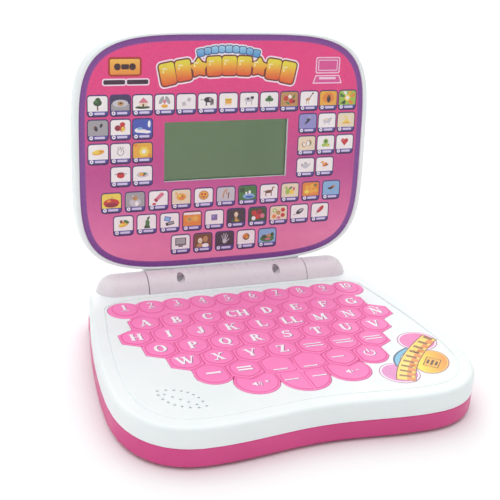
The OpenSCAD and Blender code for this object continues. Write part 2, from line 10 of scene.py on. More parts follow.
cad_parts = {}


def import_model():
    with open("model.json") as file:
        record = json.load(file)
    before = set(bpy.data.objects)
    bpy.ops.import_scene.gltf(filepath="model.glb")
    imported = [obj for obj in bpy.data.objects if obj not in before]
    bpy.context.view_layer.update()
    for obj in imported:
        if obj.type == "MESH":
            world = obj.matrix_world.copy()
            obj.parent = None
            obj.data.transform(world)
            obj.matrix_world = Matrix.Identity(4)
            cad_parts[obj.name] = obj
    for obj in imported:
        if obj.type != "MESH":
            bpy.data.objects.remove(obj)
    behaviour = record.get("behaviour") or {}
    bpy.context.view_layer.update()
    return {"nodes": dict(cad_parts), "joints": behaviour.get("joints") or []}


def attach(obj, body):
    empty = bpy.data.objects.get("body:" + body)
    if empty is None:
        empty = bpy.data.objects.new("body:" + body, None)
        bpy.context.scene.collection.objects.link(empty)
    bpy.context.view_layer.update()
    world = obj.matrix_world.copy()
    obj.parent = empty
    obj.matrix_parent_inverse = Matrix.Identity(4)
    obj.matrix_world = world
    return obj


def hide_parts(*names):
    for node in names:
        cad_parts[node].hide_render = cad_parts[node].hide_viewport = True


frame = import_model()

# Meshes are drawn in millimetres, in a plan (x, y) with a height h, and placed in metres.
# A base plan lies flat. A lid plan stands in the lid: y runs up along the lid and h to its front.
MM = 0.001
NODES = frame["nodes"]
HINGE = next(j for j in frame["joints"] if j["name"] == "lid_hinge")
AXIS_Y, AXIS_Z = HINGE["pos_m"][1] / MM, HINGE["pos_m"][2] / MM
LEAN = math.radians(HINGE["range_deg"][1] - 90)
CORNER_TURN = 0.4  # least turn between two edges that counts as a corner, in radians
BASE_PLACE = Matrix.Scale(MM, 4)
LID_PLACE = (Matrix.Scale(MM, 4) @ Matrix.Translation((0, AXIS_Y, AXIS_Z))
             @ Matrix.Rotation(-LEAN, 4, "X") @ Matrix.Rotation(math.radians(90), 4, "X"))
PLACES = {"base": BASE_PLACE, "lid": LID_PLACE}


def plan_box(node, place=BASE_PLACE):
    """Lowest and highest corner of a CAD node in a plan's own millimetres."""
    inverse = place.inverted()
    co = np.array([inverse @ v.co for v in NODES[node].data.vertices])
    return Vector(co.min(0)), Vector(co.max(0))


SHELL_HIGH = plan_box("base_top")[1]
FLOOR_H = plan_box("base_bottom")[0].z
LIP = 1.6
SEAM_H = plan_box("base_bottom")[1].z - LIP
DECK_H = plan_box("flower_sticker")[0].z
RIM_H = DECK_H + 0.4
KEY_TOP = plan_box("key_a")[1].z
BARREL_R = SHELL_HIGH.z - AXIS_Z
BARREL_END = 60.2
KNUCKLE_START = BARREL_END + 0.5
DOME_X = 95.5 - BARREL_R

# ---------- plan outlines ----------


def area(points):
    return sum(a[0] * b[1] - b[0] * a[1] for a, b in zip(points, points[1:] + points[:1])) / 2


def ccw(points):
    points = [(float(p[0]), float(p[1])) for p in points]
    return points if area(points) > 0 else points[::-1]


def simplified(points, tolerance=0.004):
    """The loop without the points that lie on the chord between their neighbours."""
    kept = []
    for i, p in enumerate(points):
        a, b = Vector(kept[-1] if kept else points[i - 1]), Vector(points[(i + 1) % len(points)])
        chord = b - a
        off = abs(chord.x * (p[1] - a.y) - chord.y * (p[0] - a.x)) / max(chord.length, 1e-9)
        if off > tolerance:
            kept.append(p)
    return kept


def loops_at(node, height, place=BASE_PLACE):
    """Closed outlines of a CAD node where a plane of its plan cuts it, largest first."""
    bm = bmesh.new()
    bm.from_mesh(NODES[node].data)
    bm.transform(place.inverted())
    bmesh.ops.remove_doubles(bm, verts=bm.verts, dist=0.002)
    cut = bmesh.ops.bisect_plane(bm, geom=bm.verts[:] + bm.edges[:] + bm.faces[:],
                                 plane_co=(0, 0, height), plane_no=(0, 0, 1))["geom_cut"]
    links = {}
    for e in cut:
        if isinstance(e, bmesh.types.BMEdge):
            for a, b in (e.verts, reversed(e.verts)):
                links.setdefault(a, []).append(b)
    loops = []
    while links:
        start = next(iter(links))
        loop, at, before = [], start, None
        while at in links:
            loop.append((at.co.x, at.co.y))
            onward = [v for v in links.pop(at) if v is not before and (v in links or v is start)]
            before, at = at, onward[0] if onward else None
        if len(loop) > 2:
            loops.append(simplified(ccw(loop)))
    bm.free()
    return sorted(loops, key=lambda p: -abs(area(p)))


def even(points, count):
    """A smooth closed curve through the points, as count points at even distances."""
    longest, dense = 6, []
    for a, b in zip(points, points[1:] + points[:1]):
        parts = max(1, math.ceil(math.dist(a, b) / longest))
        dense += [(a[0] + (b[0] - a[0]) * k / parts, a[1] + (b[1] - a[1]) * k / parts)
                  for k in range(parts)]
    pts = np.array(dense)
    fine = []
    for i in range(len(pts)):
        p0, p1, p2, p3 = (pts[(i + k) % len(pts)] for k in (-1, 0, 1, 2))
        for t in np.linspace(0, 1, 8, endpoint=False):
            fine.append(0.5 * (2 * p1 + (p2 - p0) * t + (2 * p0 - 5 * p1 + 4 * p2 - p3) * t * t
                               + (3 * p1 - p0 - 3 * p2 + p3) * t ** 3))
    fine = np.array(fine + [fine[0]])
    along = np.concatenate([[0], np.cumsum(np.linalg.norm(np.diff(fine, axis=0), axis=1))])
    at = np.linspace(0, along[-1], count, endpoint=False)
    return np.column_stack([np.interp(at, along, fine[:, k]) for k in (0, 1)])


def smooth_inset(points, d):
    """A smooth loop of evenly spaced points, moved inwards by d."""
    t = np.roll(points, -1, axis=0) - np.roll(points, 1, axis=0)
    normal = np.column_stack([-t[:, 1], t[:, 0]]) / np.linalg.norm(t, axis=1)[:, None]
    return points + d * normal


def mitre_inset(points, d):
    """A loop with corners, moved inwards by d."""
    moved = []
    for i, p in enumerate(points):
        a, p, b = Vector(points[i - 1]), Vector(p), Vector(points[(i + 1) % len(points)])
        u, v = (p - a).normalized(), (b - p).normalized()
        n1, n2 = Vector((-u.y, u.x)), Vector((-v.y, v.x))
        n = (n1 + n2).normalized()
        moved.append(tuple(p + n * d / max(n.dot(n1), 0.4)))
    return moved


def corners_of(points):
    """Which points of a loop are corners."""
    out = []
    for i, p in enumerate(points):
        u = Vector(p) - Vector(points[i - 1])
        v = Vector(points[(i + 1) % len(points)]) - Vector(p)
        out.append(abs(u.angle(v, 0)) > CORNER_TURN)
    return out


def rounded(points, corners, radius, steps=5):
    """The loop with each flagged corner as an arc, always with the same number of points."""
    out = []
    for i, p in enumerate(points):
        if not corners[i]:
            out.append(p)
            continue
        p = Vector(p)
        a, b = Vector(points[i - 1]) - p, Vector(points[(i + 1) % len(points)]) - p
        turn = math.pi - a.angle(b, math.pi)
        reach = min(radius * math.tan(turn / 2), 0.45 * a.length, 0.45 * b.length)
        start, end = p + a.normalized() * reach, p + b.normalized() * reach
        for k in range(steps):
            t = k / (steps - 1)
            out.append(tuple(start * (1 - t) ** 2 + p * 2 * t * (1 - t) + end * t * t))
    return out


def bulged(half_w, half_h, power, count):
    """Rounded rectangle with bulging sides, as a superellipse with evenly spaced points."""
    angles = np.radians(np.arange(0, 360, 1.0))
    root = lambda v: np.sign(v) * np.abs(v) ** (2 / power)
    return even(list(zip(half_w * root(np.cos(angles)), half_h * root(np.sin(angles)))), count)


def turned(dots, x, y, turn):
    """Points turned by some degrees and moved to (x, y)."""
    c, s = math.cos(math.radians(turn)), math.sin(math.radians(turn))
    return [(x + c * a - s * b, y + s * a + c * b) for a, b in dots]


def circle(x, y, r, count=32, ry=None, turn=0.0):
    """A circle, or with ry an ellipse turned by some degrees."""
    ry = r if ry is None else ry
    dots = [(r * math.cos(2 * math.pi * i / count), ry * math.sin(2 * math.pi * i / count))
            for i in range(count)]
    return turned(dots, x, y, turn)


def rect(x0, y0, x1, y1):
    return [(x0, y0), (x1, y0), (x1, y1), (x0, y1)]


def soft_rect(x, y, w, h, r, turn=0.0):
    """A rectangle with round corners about (x, y)."""
    return turned(rounded(rect(-w / 2, -h / 2, w / 2, h / 2), [True] * 4, r), x, y, turn)


def clipped(points, axis, limit, side):
    """The part of a loop on one side of a level or upright line."""
    out = []
    for a, b in zip(points, points[1:] + points[:1]):
        da, db = side * (a[axis] - limit), side * (b[axis] - limit)
        if da >= 0:
            out.append(a)
        if da * db < 0:
            t = da / (da - db)
            out.append((a[0] + (b[0] - a[0]) * t, a[1] + (b[1] - a[1]) * t))
    return out


def inside(points, x, y):
    odd = False
    for (x0, y0), (x1, y1) in zip(points, points[1:] + points[:1]):
        if (y0 > y) != (y1 > y) and x < x0 + (y - y0) * (x1 - x0) / (y1 - y0):
            odd = not odd
    return odd


def smoothstep(t):
    t = np.clip(t, 0, 1)
    return t * t * (3 - 2 * t)


def quarter_round(outline, r, height, side, steps=8):
    """Rings of a round edge, from its wall inwards to a top (side 1) or an underside (side -1)."""
    return [(smooth_inset(outline, r * (1 - math.cos(a))), height - side * r * (1 - math.sin(a)))
            for a in np.radians(np.linspace(0, 90, steps))]


def insets(outline, height, *steps):
    """Rings at (inset, rise over the height) pairs."""
    return [(smooth_inset(outline, d), height + h) for d, h in steps]


# ---------- meshes ----------


def loft(bm, rings, caps=(True, True)):
    """Skin through rings of (points, height), where a height is a number or one per point."""
    rows = []
    for points, height in rings:
        heights = np.broadcast_to(height, (len(points),))
        rows.append([bm.verts.new((p[0], p[1], h)) for p, h in zip(points, heights)])
    count = len(rows[0])
    for low, high in zip(rows, rows[1:]):
        for i in range(count):
            k = (i + 1) % count
            bm.faces.new((low[i], low[k], high[k], high[i])).smooth = True
    if caps[0]:
        bm.faces.new(rows[0][::-1])
    if caps[1]:
        bm.faces.new(rows[-1])


def painted(shapes, extra=()):
    """Overlapping plan shapes as flat triangles that don't overlap, each with its topmost shape."""
    dots, faces = [], []
    for shape in shapes:
        shape = ccw(shape)
        faces.append(list(range(len(dots), len(dots) + len(shape))))
        dots += shape
    dots += list(extra)
    co, _, tris, _, _, origin = delaunay_2d_cdt([Vector(d) for d in dots], [], faces, 1, 1e-5)
    found = [(tri, max(of)) for tri, of in zip(tris, origin) if of]
    return co, [f[0] for f in found], [f[1] for f in found]


def add_painted(bm, shapes, height, paints, down=False):
    """Adds the painted plan at one height. A paint is a material index, or None for a hole."""
    co, tris, tops = painted(shapes)
    verts = {}
    for tri, top in zip(tris, tops):
        if paints[top] is None:
            continue
        for i in tri:
            if i not in verts:
                verts[i] = bm.verts.new((*co[i], height))
        corners = [verts[i] for i in tri]
        face = bm.faces.new(corners[::-1] if down else corners)
        face.material_index = paints[top]


def tube(bm, x, y, rings, count):
    """A turned shape about a vertical line, from (radius, height) pairs."""
    loft(bm, [(circle(x, y, r, count), h) for r, h in rings])


def mesh_from(bm):
    mesh = bpy.data.meshes.new("mesh")
    bm.to_mesh(mesh)
    bm.free()
    return mesh


def linked(thing):
    bpy.context.scene.collection.objects.link(thing)
    return thing


def finished(name, bm, body, materials, slot, replaced, weighted=True):
    """Makes the piece in the row frame, hangs it on its body and hides the CAD node that it replaces."""
    bmesh.ops.remove_doubles(bm, verts=bm.verts, dist=1e-4)
    bmesh.ops.recalc_face_normals(bm, faces=bm.faces)
    bm.transform(PLACES.get(body, BASE_PLACE))
    mesh = mesh_from(bm)
    piece = linked(bpy.data.objects.new(name, mesh))
    mesh.name = name
    mesh.set_sharp_from_angle(angle=math.radians(35))
    for material in materials:
        mesh.materials.append(material)
    if weighted:
        normals = piece.modifiers.new("normals", "WEIGHTED_NORMAL")
        normals.keep_sharp = True
    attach(piece, body)
    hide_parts(replaced)


def box_tool(low, high):
    bm = bmesh.new()
    loft(bm, [(rect(low[0], low[1], high[0], high[1]), h) for h in (low[2], high[2])])
    return bm


def bar_tool(x0, x1, y, h, profile):
    """A bar along X with a cross-section given as (y, h) points about (y, h)."""
    bm = bmesh.new()
    rows = [[bm.verts.new((x, y + a, h + b)) for a, b in profile] for x in (x0, x1)]
    count = len(profile)
    for i in range(count):
        k = (i + 1) % count
        bm.faces.new((rows[0][i], rows[0][k], rows[1][k], rows[1][i])).smooth = True
    bm.faces.new(rows[0][::-1])
    bm.faces.new(rows[1])
    return bm


def turned_bar(x_radius, y, h, count=64):
    """A bar along X that is round everywhere, from (x, radius) pairs."""
    bm = bmesh.new()
    loft(bm, [(circle(0, 0, r, count), x) for x, r in x_radius])
    bm.transform(Matrix.Translation((0, y, h)) @ Matrix.Rotation(math.radians(90), 4, "Z")
                 @ Matrix.Rotation(math.radians(90), 4, "X"))
    return bm


def combined(bm, steps):
    """The mesh after booleans with the tools of (operation, tool) pairs."""
    things = []
    for part in [bm] + [tool for _, tool in steps]:
        bmesh.ops.recalc_face_normals(part, faces=part.faces)
        things.append(linked(bpy.data.objects.new("work", mesh_from(part))))
    for (operation, _), tool in zip(steps, things[1:]):
        step = things[0].modifiers.new("step", "BOOLEAN")
        step.operation, step.solver, step.object = operation, "MANIFOLD", tool
    result = bmesh.new()
    result.from_mesh(things[0].evaluated_get(bpy.context.evaluated_depsgraph_get()).to_mesh())
    for thing in things:
        bpy.data.objects.remove(thing)
    return result


def joined(parts):
    """Several separate closed shapes as one tool."""
    whole = bmesh.new()
    for part in parts:
        whole.from_mesh(mesh_from(part))
    return whole


def discs(places, *rings, count=32):
    """One turned tool at each place, from (radius, height) pairs."""
    parts = []
    for x, y in places:
        parts.append(bmesh.new())
        tube(parts[-1], x, y, rings, count)
    return joined(parts)


# ---------- materials ----------


def linear(rgb):
    """Linear colour from 0-255 sRGB values."""
    return tuple((c / 12.92 if c <= 0.04045 else ((c + 0.055) / 1.055) ** 2.4)
                 for c in (v / 255 for v in rgb))


class Shader:
    """A short way to build a node tree round one Principled shader."""

    def __init__(self, name, roughness, **sockets):
        self.material = bpy.data.materials.new(name)
        self.material.use_nodes = True
        self.tree = self.material.node_tree
        self.shader = self.tree.nodes["Principled BSDF"]
        self.shader.inputs["Roughness"].default_value = roughness
        for socket, value in sockets.items():
            self.shader.inputs[socket.replace("_", " ")].default_value = value
        self.coords = self.node("ShaderNodeTexCoord").outputs["Object"]

    def node(self, kind, **settings):
        made = self.tree.nodes.new(kind)
        for key, value in settings.items():
            if key in made.inputs:
                made.inputs[key].default_value = value
            else:
                setattr(made, key, value)
        return made

    def link(self, start, end):
        self.tree.links.new(start, end)

    def noise(self, scale, detail=2.0, stretch=(1, 1, 1)):
        mapping = self.node("ShaderNodeMapping")
        mapping.inputs["Scale"].default_value = stretch
        self.link(self.coords, mapping.inputs["Vector"])
        noise = self.node("ShaderNodeTexNoise", Scale=scale, Detail=detail)
        self.link(mapping.outputs["Vector"], noise.inputs["Vector"])
        return noise.outputs["Fac"]

    def spread(self, value, low, high, start=0.35, end=0.65):
        ranged = self.node("ShaderNodeMapRange")
        for key, number in (("From Min", start), ("From Max", end), ("To Min", low), ("To Max", high)):
            ranged.inputs[key].default_value = number
        self.link(value, ranged.inputs["Value"])
        return ranged.outputs["Result"]

    def blend(self, factor, first, second):
        """Mixes two colours, each an sRGB constant or a socket."""
        mix = self.node("ShaderNodeMix", data_type="RGBA")
        self.link(factor, mix.inputs["Factor"])
        for socket, colour in ((mix.inputs[6], first), (mix.inputs[7], second)):
            if isinstance(colour, tuple):
                socket.default_value = (*linear(colour), 1)
            else:
                self.link(colour, socket)
        return mix.outputs[2]

    def bump(self, value, strength, distance):
        """Adds one layer of relief under those that are there."""
        made = self.node("ShaderNodeBump", Strength=strength, Distance=distance)
        self.link(value, made.inputs["Height"])
        if self.shader.inputs["Normal"].is_linked:
            self.link(self.shader.inputs["Normal"].links[0].from_socket, made.inputs["Normal"])
        self.link(made.outputs["Normal"], self.shader.inputs["Normal"])

    def finish(self, colour, roughness=None):
        self.link(colour, self.shader.inputs["Base Color"])
        if roughness is not None:
            self.link(roughness, self.shader.inputs["Roughness"])
        return self.material


def moulded(name, rgb, rgb_soft, roughness, grain=0.06):
    """Injection-moulded plastic: faint clouding, fine grain, long flow marks and light scuffs."""
    s = Shader(name, roughness)
    cloud = s.spread(s.noise(22, 3), 0, 1)
    flow = s.spread(s.noise(60, 2, (1, 0.12, 1)), 0, 0.35)
    colour = s.blend(cloud, rgb, rgb_soft)
    colour = s.blend(flow, colour, rgb_soft)
    scuffs = s.spread(s.noise(240, 4, (1, 0.25, 1)), roughness - 0.05, roughness + 0.09)
    s.bump(s.noise(1800, 2), grain, 0.0001)
    s.bump(s.noise(90, 2), grain * 0.6, 0.0004)
    return s.finish(colour, scuffs)


WHITE = moulded("white_abs", (244, 250, 250), (238, 246, 246), 0.34)
# The barrel's warm, slightly darker white is a painted reflection of the pink keys and card, with a little
# painted shade.
BARREL_PAINTED_REFLECTION = moulded("barrel_painted_reflection", (236, 229, 233), (230, 223, 228), 0.3)
MAGENTA = moulded("magenta_abs", (222, 72, 142), (212, 66, 134), 0.36)
PINK = moulded("pink_key_plastic", (255, 140, 200), (252, 131, 193), 0.46, grain=0.1)
# Darker pink on the lower slope of each key pad: painted shade that makes the embossed ring show.
PINK_SLOPE_SHADE = moulded("pink_key_slope_painted_shade", (240, 106, 170), (232, 99, 163), 0.5, grain=0.1)
RUBBER = moulded("grey_rubber", (84, 84, 88), (70, 70, 74), 0.78, grain=0.35)
INNER = moulded("inner_polystyrene", (232, 238, 240), (222, 229, 232), 0.5)
DOME = moulded("silicone", (232, 226, 220), (222, 214, 206), 0.6, grain=0.2)
BLACK = moulded("black_polymer", (44, 45, 49), (34, 35, 39), 0.5, grain=0.2)
SLEEVE = moulded("battery_film", (62, 112, 182), (50, 98, 168), 0.3)


def ink_material(name, rgb, rgb_soft):
    """Screen-printed ink: slightly uneven cover with a fine mesh relief."""
    s = Shader(name, 0.42)
    cover = s.spread(s.noise(700, 2), 0, 1)
    s.bump(s.noise(2600, 1), 0.08, 0.00005)
    return s.finish(s.blend(cover, rgb, rgb_soft), s.spread(s.noise(400, 2), 0.38, 0.5))


WHITE_INK = ink_material("white_ink", (255, 250, 253), (250, 240, 248))
SHADOW_INK = ink_material("grey_shadow_ink", (158, 100, 144), (148, 94, 136))


def metal(name, rgb, rgb_soft, roughness):
    """Plated steel with fine turning marks and dull spots."""
    s = Shader(name, roughness, Metallic=1.0)
    spots = s.spread(s.noise(500, 3), 0, 1)
    s.bump(s.noise(1500, 2, (1, 1, 0.1)), 0.12, 0.00005)
    return s.finish(s.blend(spots, rgb, rgb_soft),
                    s.spread(s.noise(900, 3), roughness, roughness + 0.2))


STEEL = metal("zinc_steel", (206, 208, 212), (174, 176, 180), 0.42)


def board_material():
    """Green solder mask over faint copper tracks."""
    s = Shader("solder_mask", 0.4)
    tracks = s.node("ShaderNodeTexBrick", Scale=160.0)
    s.link(s.coords, tracks.inputs["Vector"])
    lines = s.blend(tracks.outputs["Fac"], (40, 118, 70), (58, 142, 84))
    s.bump(tracks.outputs["Fac"], 0.3, 0.00008)
    return s.finish(s.blend(s.spread(s.noise(300, 2), 0, 0.4), lines, (30, 96, 58)))


BOARD = board_material()


def printed_material(name, roughness, coat):
    """Offset print: the mesh's ink colours with fine halftone mottle under a lacquer."""
    s = Shader(name, roughness, Coat_Weight=coat, Coat_Roughness=0.12)
    ink = s.node("ShaderNodeAttribute", attribute_name="ink", attribute_type="GEOMETRY")
    dots = s.spread(s.noise(2200, 2), 0, 0.07)
    mottle = s.spread(s.noise(160, 4), 0, 0.06)
    s.bump(s.noise(500, 2), 0.03, 0.0001)
    colour = s.blend(mottle, s.blend(dots, ink.outputs["Color"], (250, 240, 248)), (150, 60, 130))
    return s.finish(colour, s.spread(s.noise(300, 2), roughness - 0.04, roughness + 0.08))


CARD_PRINT = printed_material("card_print", 0.42, 0.1)
STICKER_PRINT = printed_material("sticker_print", 0.35, 0.2)


def window_material():
    """Clear acrylic pane: what is behind it shows, with a soft gloss and faint wipe marks."""
    material = bpy.data.materials.new("clear_acrylic")
    material.use_nodes = True
    tree = material.node_tree
    tree.nodes.remove(tree.nodes["Principled BSDF"])
    make = lambda kind: tree.nodes.new(kind)
    clear, gloss, mix, fresnel = (make(f"ShaderNode{kind}") for kind in
                                  ("BsdfTransparent", "BsdfGlossy", "MixShader", "Fresnel"))
    clear.inputs["Color"].default_value = (0.95, 0.97, 0.96, 1)
    coords, noise, ranged = (make(f"ShaderNode{kind}") for kind in ("TexCoord", "TexNoise", "MapRange"))
    noise.inputs["Scale"].default_value = 80
    ranged.inputs["To Min"].default_value, ranged.inputs["To Max"].default_value = 0.03, 0.12
    fresnel.inputs["IOR"].default_value = 1.4
    for start, end in ((coords.outputs["Object"], noise.inputs["Vector"]),
                       (noise.outputs["Fac"], ranged.inputs["Value"]),
                       (ranged.outputs["Result"], gloss.inputs["Roughness"]),
                       (fresnel.outputs["Fac"], mix.inputs["Fac"]),
                       (clear.outputs["BSDF"], mix.inputs[1]),
                       (gloss.outputs["BSDF"], mix.inputs[2]),
                       (mix.outputs["Shader"], tree.nodes["Material Output"].inputs["Surface"])):
        tree.links.new(start, end)
    return material


def display_material():
    """Grey-green liquid crystal cell with broad upright bands and faint rows of idle dots."""
    s = Shader("liquid_crystal", 0.5)
    bands = s.spread(s.noise(14, 1, (1, 0.02, 0.02)), 0, 1, 0.3, 0.7)
    rows = s.spread(s.noise(900, 1, (0.15, 1, 1)), 0, 0.05)
    colour = s.blend(bands, (150, 181, 132), (174, 203, 156))
    return s.finish(s.blend(rows, colour, (128, 158, 114)), s.spread(s.noise(200, 2), 0.45, 0.55))


DISPLAY = display_material()
WINDOW = window_material()

# ---------- base shells ----------


def centres(node, height, place=BASE_PLACE, largest=math.inf):
    """Middles of the closed outlines of a CAD node at a height, up to an area."""
    return [tuple(np.mean(p, axis=0)) for p in loops_at(node, height, place) if 0 < area(p) < largest]


def from_front(points):
    """The loop, started at the middle of its front."""
    front = np.argmin(np.abs(points[:, 0]) + np.where(points[:, 1] > 0, 1e3, 0))
    return np.roll(points, -front, axis=0)


CASE_AT, BOARD_AT, DOOR_AT = (centres("base_screws", height) for height in (10, 20, 5))
SCREW_R, HEAD_R, POST_R = 1.3, 2.5, 3.5
PILOT_R, HOLE_R, SEAT_R = SCREW_R + 0.05, SCREW_R + 0.15, HEAD_R + 0.3
PIN_BORE_R = 4


def tint_barrel(bm, axis_y, axis_h, lowest=-math.inf):
    """Gives the faces of the hinge barrel and its domed ends the second material, a painted pink reflection
    with a little painted shade.
    """
    for face in bm.faces:
        at = face.calc_center_median()
        off = math.dist((max(abs(at.x) - DOME_X, 0), at.y, at.z), (0, axis_y, axis_h))
        if off < BARREL_R + 0.05 and at.z > lowest:
            face.material_index = 1


def twin_bars(x_radius, y, h, count=64):
    """The same turned bar at the left and at the right."""
    return joined([turned_bar([(side * x, r) for x, r in x_radius], y, h, count) for side in (-1, 1)])


def upper_shell():
    """White upper shell: soft top edge, shallow recess, key opening, barrel ends and speaker holes."""
    wall_cut, plate_cut, plate_under = 15, 26, 25.0
    outline = from_front(even(loops_at("base_top", wall_cut)[0], 240))
    front = outline[:, 1].min()
    rim = DECK_H + 0.03 + (RIM_H - DECK_H) * smoothstep((outline[:, 1] - front - 30) / 40)
    bm = bmesh.new()
    loft(bm, insets(outline, SEAM_H, (2.2, plate_under - SEAM_H), (2.2, 0), (0.45, 0), (0.12, 0.2),
                    (0, 0.6), (0, 6))
         + quarter_round(outline, 3.0, rim, 1) + insets(outline, rim, (8.4, 0)))

    contour = even(loops_at("base_top", RIM_H - 0.15)[1], 300)
    recess = bmesh.new()
    loft(recess, insets(contour, DECK_H, (1.1, 0), (0.85, -0.1), (0.65, -0.6), (0.25, -0.6), (0.1, 0),
                        (0, 0.25), (-0.25, 0.42), (-0.5, 0.6)))
    opening = loops_at("base_top", plate_cut)[1]
    mouth = bmesh.new()
    loft(mouth, [(rounded(mitre_inset(opening, 0.25), corners_of(opening), 0.5), h)
                 for h in (23, DECK_H + 0.3)])
    holes = discs(centres("base_top", plate_cut, largest=3), (0.8, 24), (0.8, DECK_H - 0.3),
                  (1.25, DECK_H + 0.15), count=20)
    wall_r, room_r = BARREL_R + 2.1, BARREL_R + 0.3
    bowl = [(wall_r * math.cos(a), wall_r * math.sin(a)) for a in np.radians(np.linspace(176.6, 316, 40))]
    bowl.append((bowl[-1][0], 0.9))
    knuckle = [(KNUCKLE_START, BARREL_R - 0.4), (KNUCKLE_START + 0.4, BARREL_R)]
    knuckle += [(DOME_X + BARREL_R * math.sin(a), BARREL_R * math.cos(a))
                for a in np.radians([0, 12, 24, 36, 48, 58, 67, 75, 82, 88])]
    posts = joined([discs(CASE_AT, (POST_R, 10), (POST_R, plate_under + 0.3)),
                    discs(BOARD_AT, (POST_R, 22.6), (POST_R, plate_under + 0.3))])
    bores = twin_bars([(KNUCKLE_START - 1, PIN_BORE_R), (KNUCKLE_START + 10, PIN_BORE_R)], AXIS_Y, AXIS_Z)
    room = turned_bar([(-KNUCKLE_START, room_r), (KNUCKLE_START, room_r)], AXIS_Y, AXIS_Z, 96)
    behind = box_tool((-KNUCKLE_START, AXIS_Y, AXIS_Z - 7.4), (KNUCKLE_START, AXIS_Y + 20, AXIS_Z + 15))
    trough = bar_tool(-KNUCKLE_START - 1, KNUCKLE_START + 1, AXIS_Y, AXIS_Z, bowl)
    bm = combined(bm, [("UNION", posts), ("DIFFERENCE", recess), ("UNION", trough), ("DIFFERENCE", room),
                       ("DIFFERENCE", behind), ("UNION", twin_bars(knuckle, AXIS_Y, AXIS_Z)),
                       ("DIFFERENCE", bores), ("DIFFERENCE", discs(CASE_AT, (PILOT_R, 8), (PILOT_R, 18))),
                       ("DIFFERENCE", mouth), ("DIFFERENCE", holes)])
    tint_barrel(bm, AXIS_Y, AXIS_Z, DECK_H + 0.2)
    finished("upper_shell", bm, "base", [WHITE, BARREL_PAINTED_REFLECTION], "white_shell", "base_top")


def lower_shell():
    """Magenta lower shell with a soft bottom edge, lip, bosses and the battery box."""
    outline = from_front(even(loops_at("base_bottom", 8)[0], 240))
    inner_floor = FLOOR_H + 2.2
    bm = bmesh.new()
    loft(bm, quarter_round(outline, 2.6, FLOOR_H, -1, 7)[::-1]
         + insets(outline, SEAM_H, (0, -0.9), (0.1, -0.4), (0.5, 0), (2.35, 0), (2.35, LIP), (3.4, LIP))
         + insets(outline, inner_floor, (3.4, 0)))
    low, high = plan_box("batteries")
    pack_y = (low.y + high.y) / 2
    cells_x, cells_y, cells_top, wall = 25.4, 17.9, 14.6, 1.6
    case = box_tool((-cells_x - wall, pack_y - cells_y - wall, inner_floor - 0.3),
                    (cells_x + wall, pack_y + cells_y + wall, cells_top + 1))
    ledge = box_tool((-30.5, pack_y - 21, inner_floor - 0.3), (30.5, pack_y + 33.5, inner_floor + 1.4))
    block = box_tool((-6, pack_y + 18, inner_floor), (6, pack_y + 32.5, 11))
    cells = box_tool((-cells_x, pack_y - cells_y, 0), (cells_x, pack_y + cells_y, cells_top))
    door = box_tool((-29, pack_y - 19.5, 0), (29, pack_y + 32, inner_floor + 0.1))
    bosses = discs(CASE_AT, (POST_R + 0.7, inner_floor - 0.5), (POST_R + 0.7, 10))
    wells = discs(CASE_AT, (HEAD_R + 0.6, FLOOR_H - 0.3), (SEAT_R, FLOOR_H + 0.2), (SEAT_R, 8),
                  (HOLE_R, 8), (HOLE_R, 11))
    pilot = discs(DOOR_AT, (PILOT_R, 3), (PILOT_R, 10.5))
    bm = combined(bm, [("UNION", case), ("UNION", ledge), ("UNION", block), ("UNION", bosses),
                       ("DIFFERENCE", cells), ("DIFFERENCE", door), ("DIFFERENCE", wells),
                       ("DIFFERENCE", pilot)])
    finished("lower_shell", bm, "base", [MAGENTA], "magenta_shell", "base_bottom")


upper_shell()
lower_shell()

# ---------- lid shells ----------

LID_HIGH = plan_box("lid_front", LID_PLACE)[1]
CARD_LOW, CARD_HIGH = plan_box("picture_card", LID_PLACE)
LCD_LOW, LCD_HIGH = plan_box("lcd_window", LID_PLACE)
BACK_H = plan_box("lid_back", LID_PLACE)[0].z
SPLIT_H = -7.5
CARD_POWER = 4.5
CARD_H = CARD_HIGH.z
MID_V = (CARD_LOW.y + CARD_HIGH.y) / 2
LCD_V = (LCD_LOW.y + LCD_HIGH.y) / 2
HALF_W, HALF_V = LID_HIGH.x, LID_HIGH.y - MID_V
LCD_HALF_W, LCD_HALF_V = LCD_HIGH.x + 0.1, LCD_HIGH.y - LCD_V + 0.1
LID_SCREWS = centres("lid_screws", -9, LID_PLACE)
BARREL_SCREWS = centres("lid_screws", -3.5, LID_PLACE)


def up_lid(points):
    return [(p[0], p[1] + MID_V) for p in points]


LID_OUTLINE = np.array(up_lid(bulged(HALF_W, HALF_V, 4.4, 240)))
CARD_OUTLINE = np.array(up_lid(bulged(CARD_HIGH.x + 0.2, CARD_HIGH.y - MID_V + 0.2, CARD_POWER, 240)))
FAR = 20  # beyond the lid's thickness on either side


def barrel_part(front):
    """The lid's part of the barrel, in front of the split or behind it."""
    ends = [(-BARREL_END, BARREL_R - 0.5), (-BARREL_END + 0.15, BARREL_R - 0.15), (-BARREL_END + 0.5, BARREL_R)]
    bar = turned_bar(ends + [(-x, r) for x, r in ends[::-1]], 0, 0, 96)
    low, high = (-FAR, SPLIT_H) if front else (SPLIT_H, FAR)
    bore_r = PIN_BORE_R + 0.06
    bore = turned_bar([(-BARREL_END - 1, bore_r), (BARREL_END + 1, bore_r)], 0, 0)
    return combined(bar, [("DIFFERENCE", box_tool((-80, -30, low), (80, 30, high))), ("DIFFERENCE", bore)])


def knuckle_room():
    return twin_bars([(BARREL_END, BARREL_R + 0.6), (125, BARREL_R + 0.6)], 0, 0, 96)


def neck(low, high):
    """Joins a lid shell to its part of the barrel."""
    return box_tool((-BARREL_END + 0.5, 4, low), (BARREL_END - 0.5, 16, high))


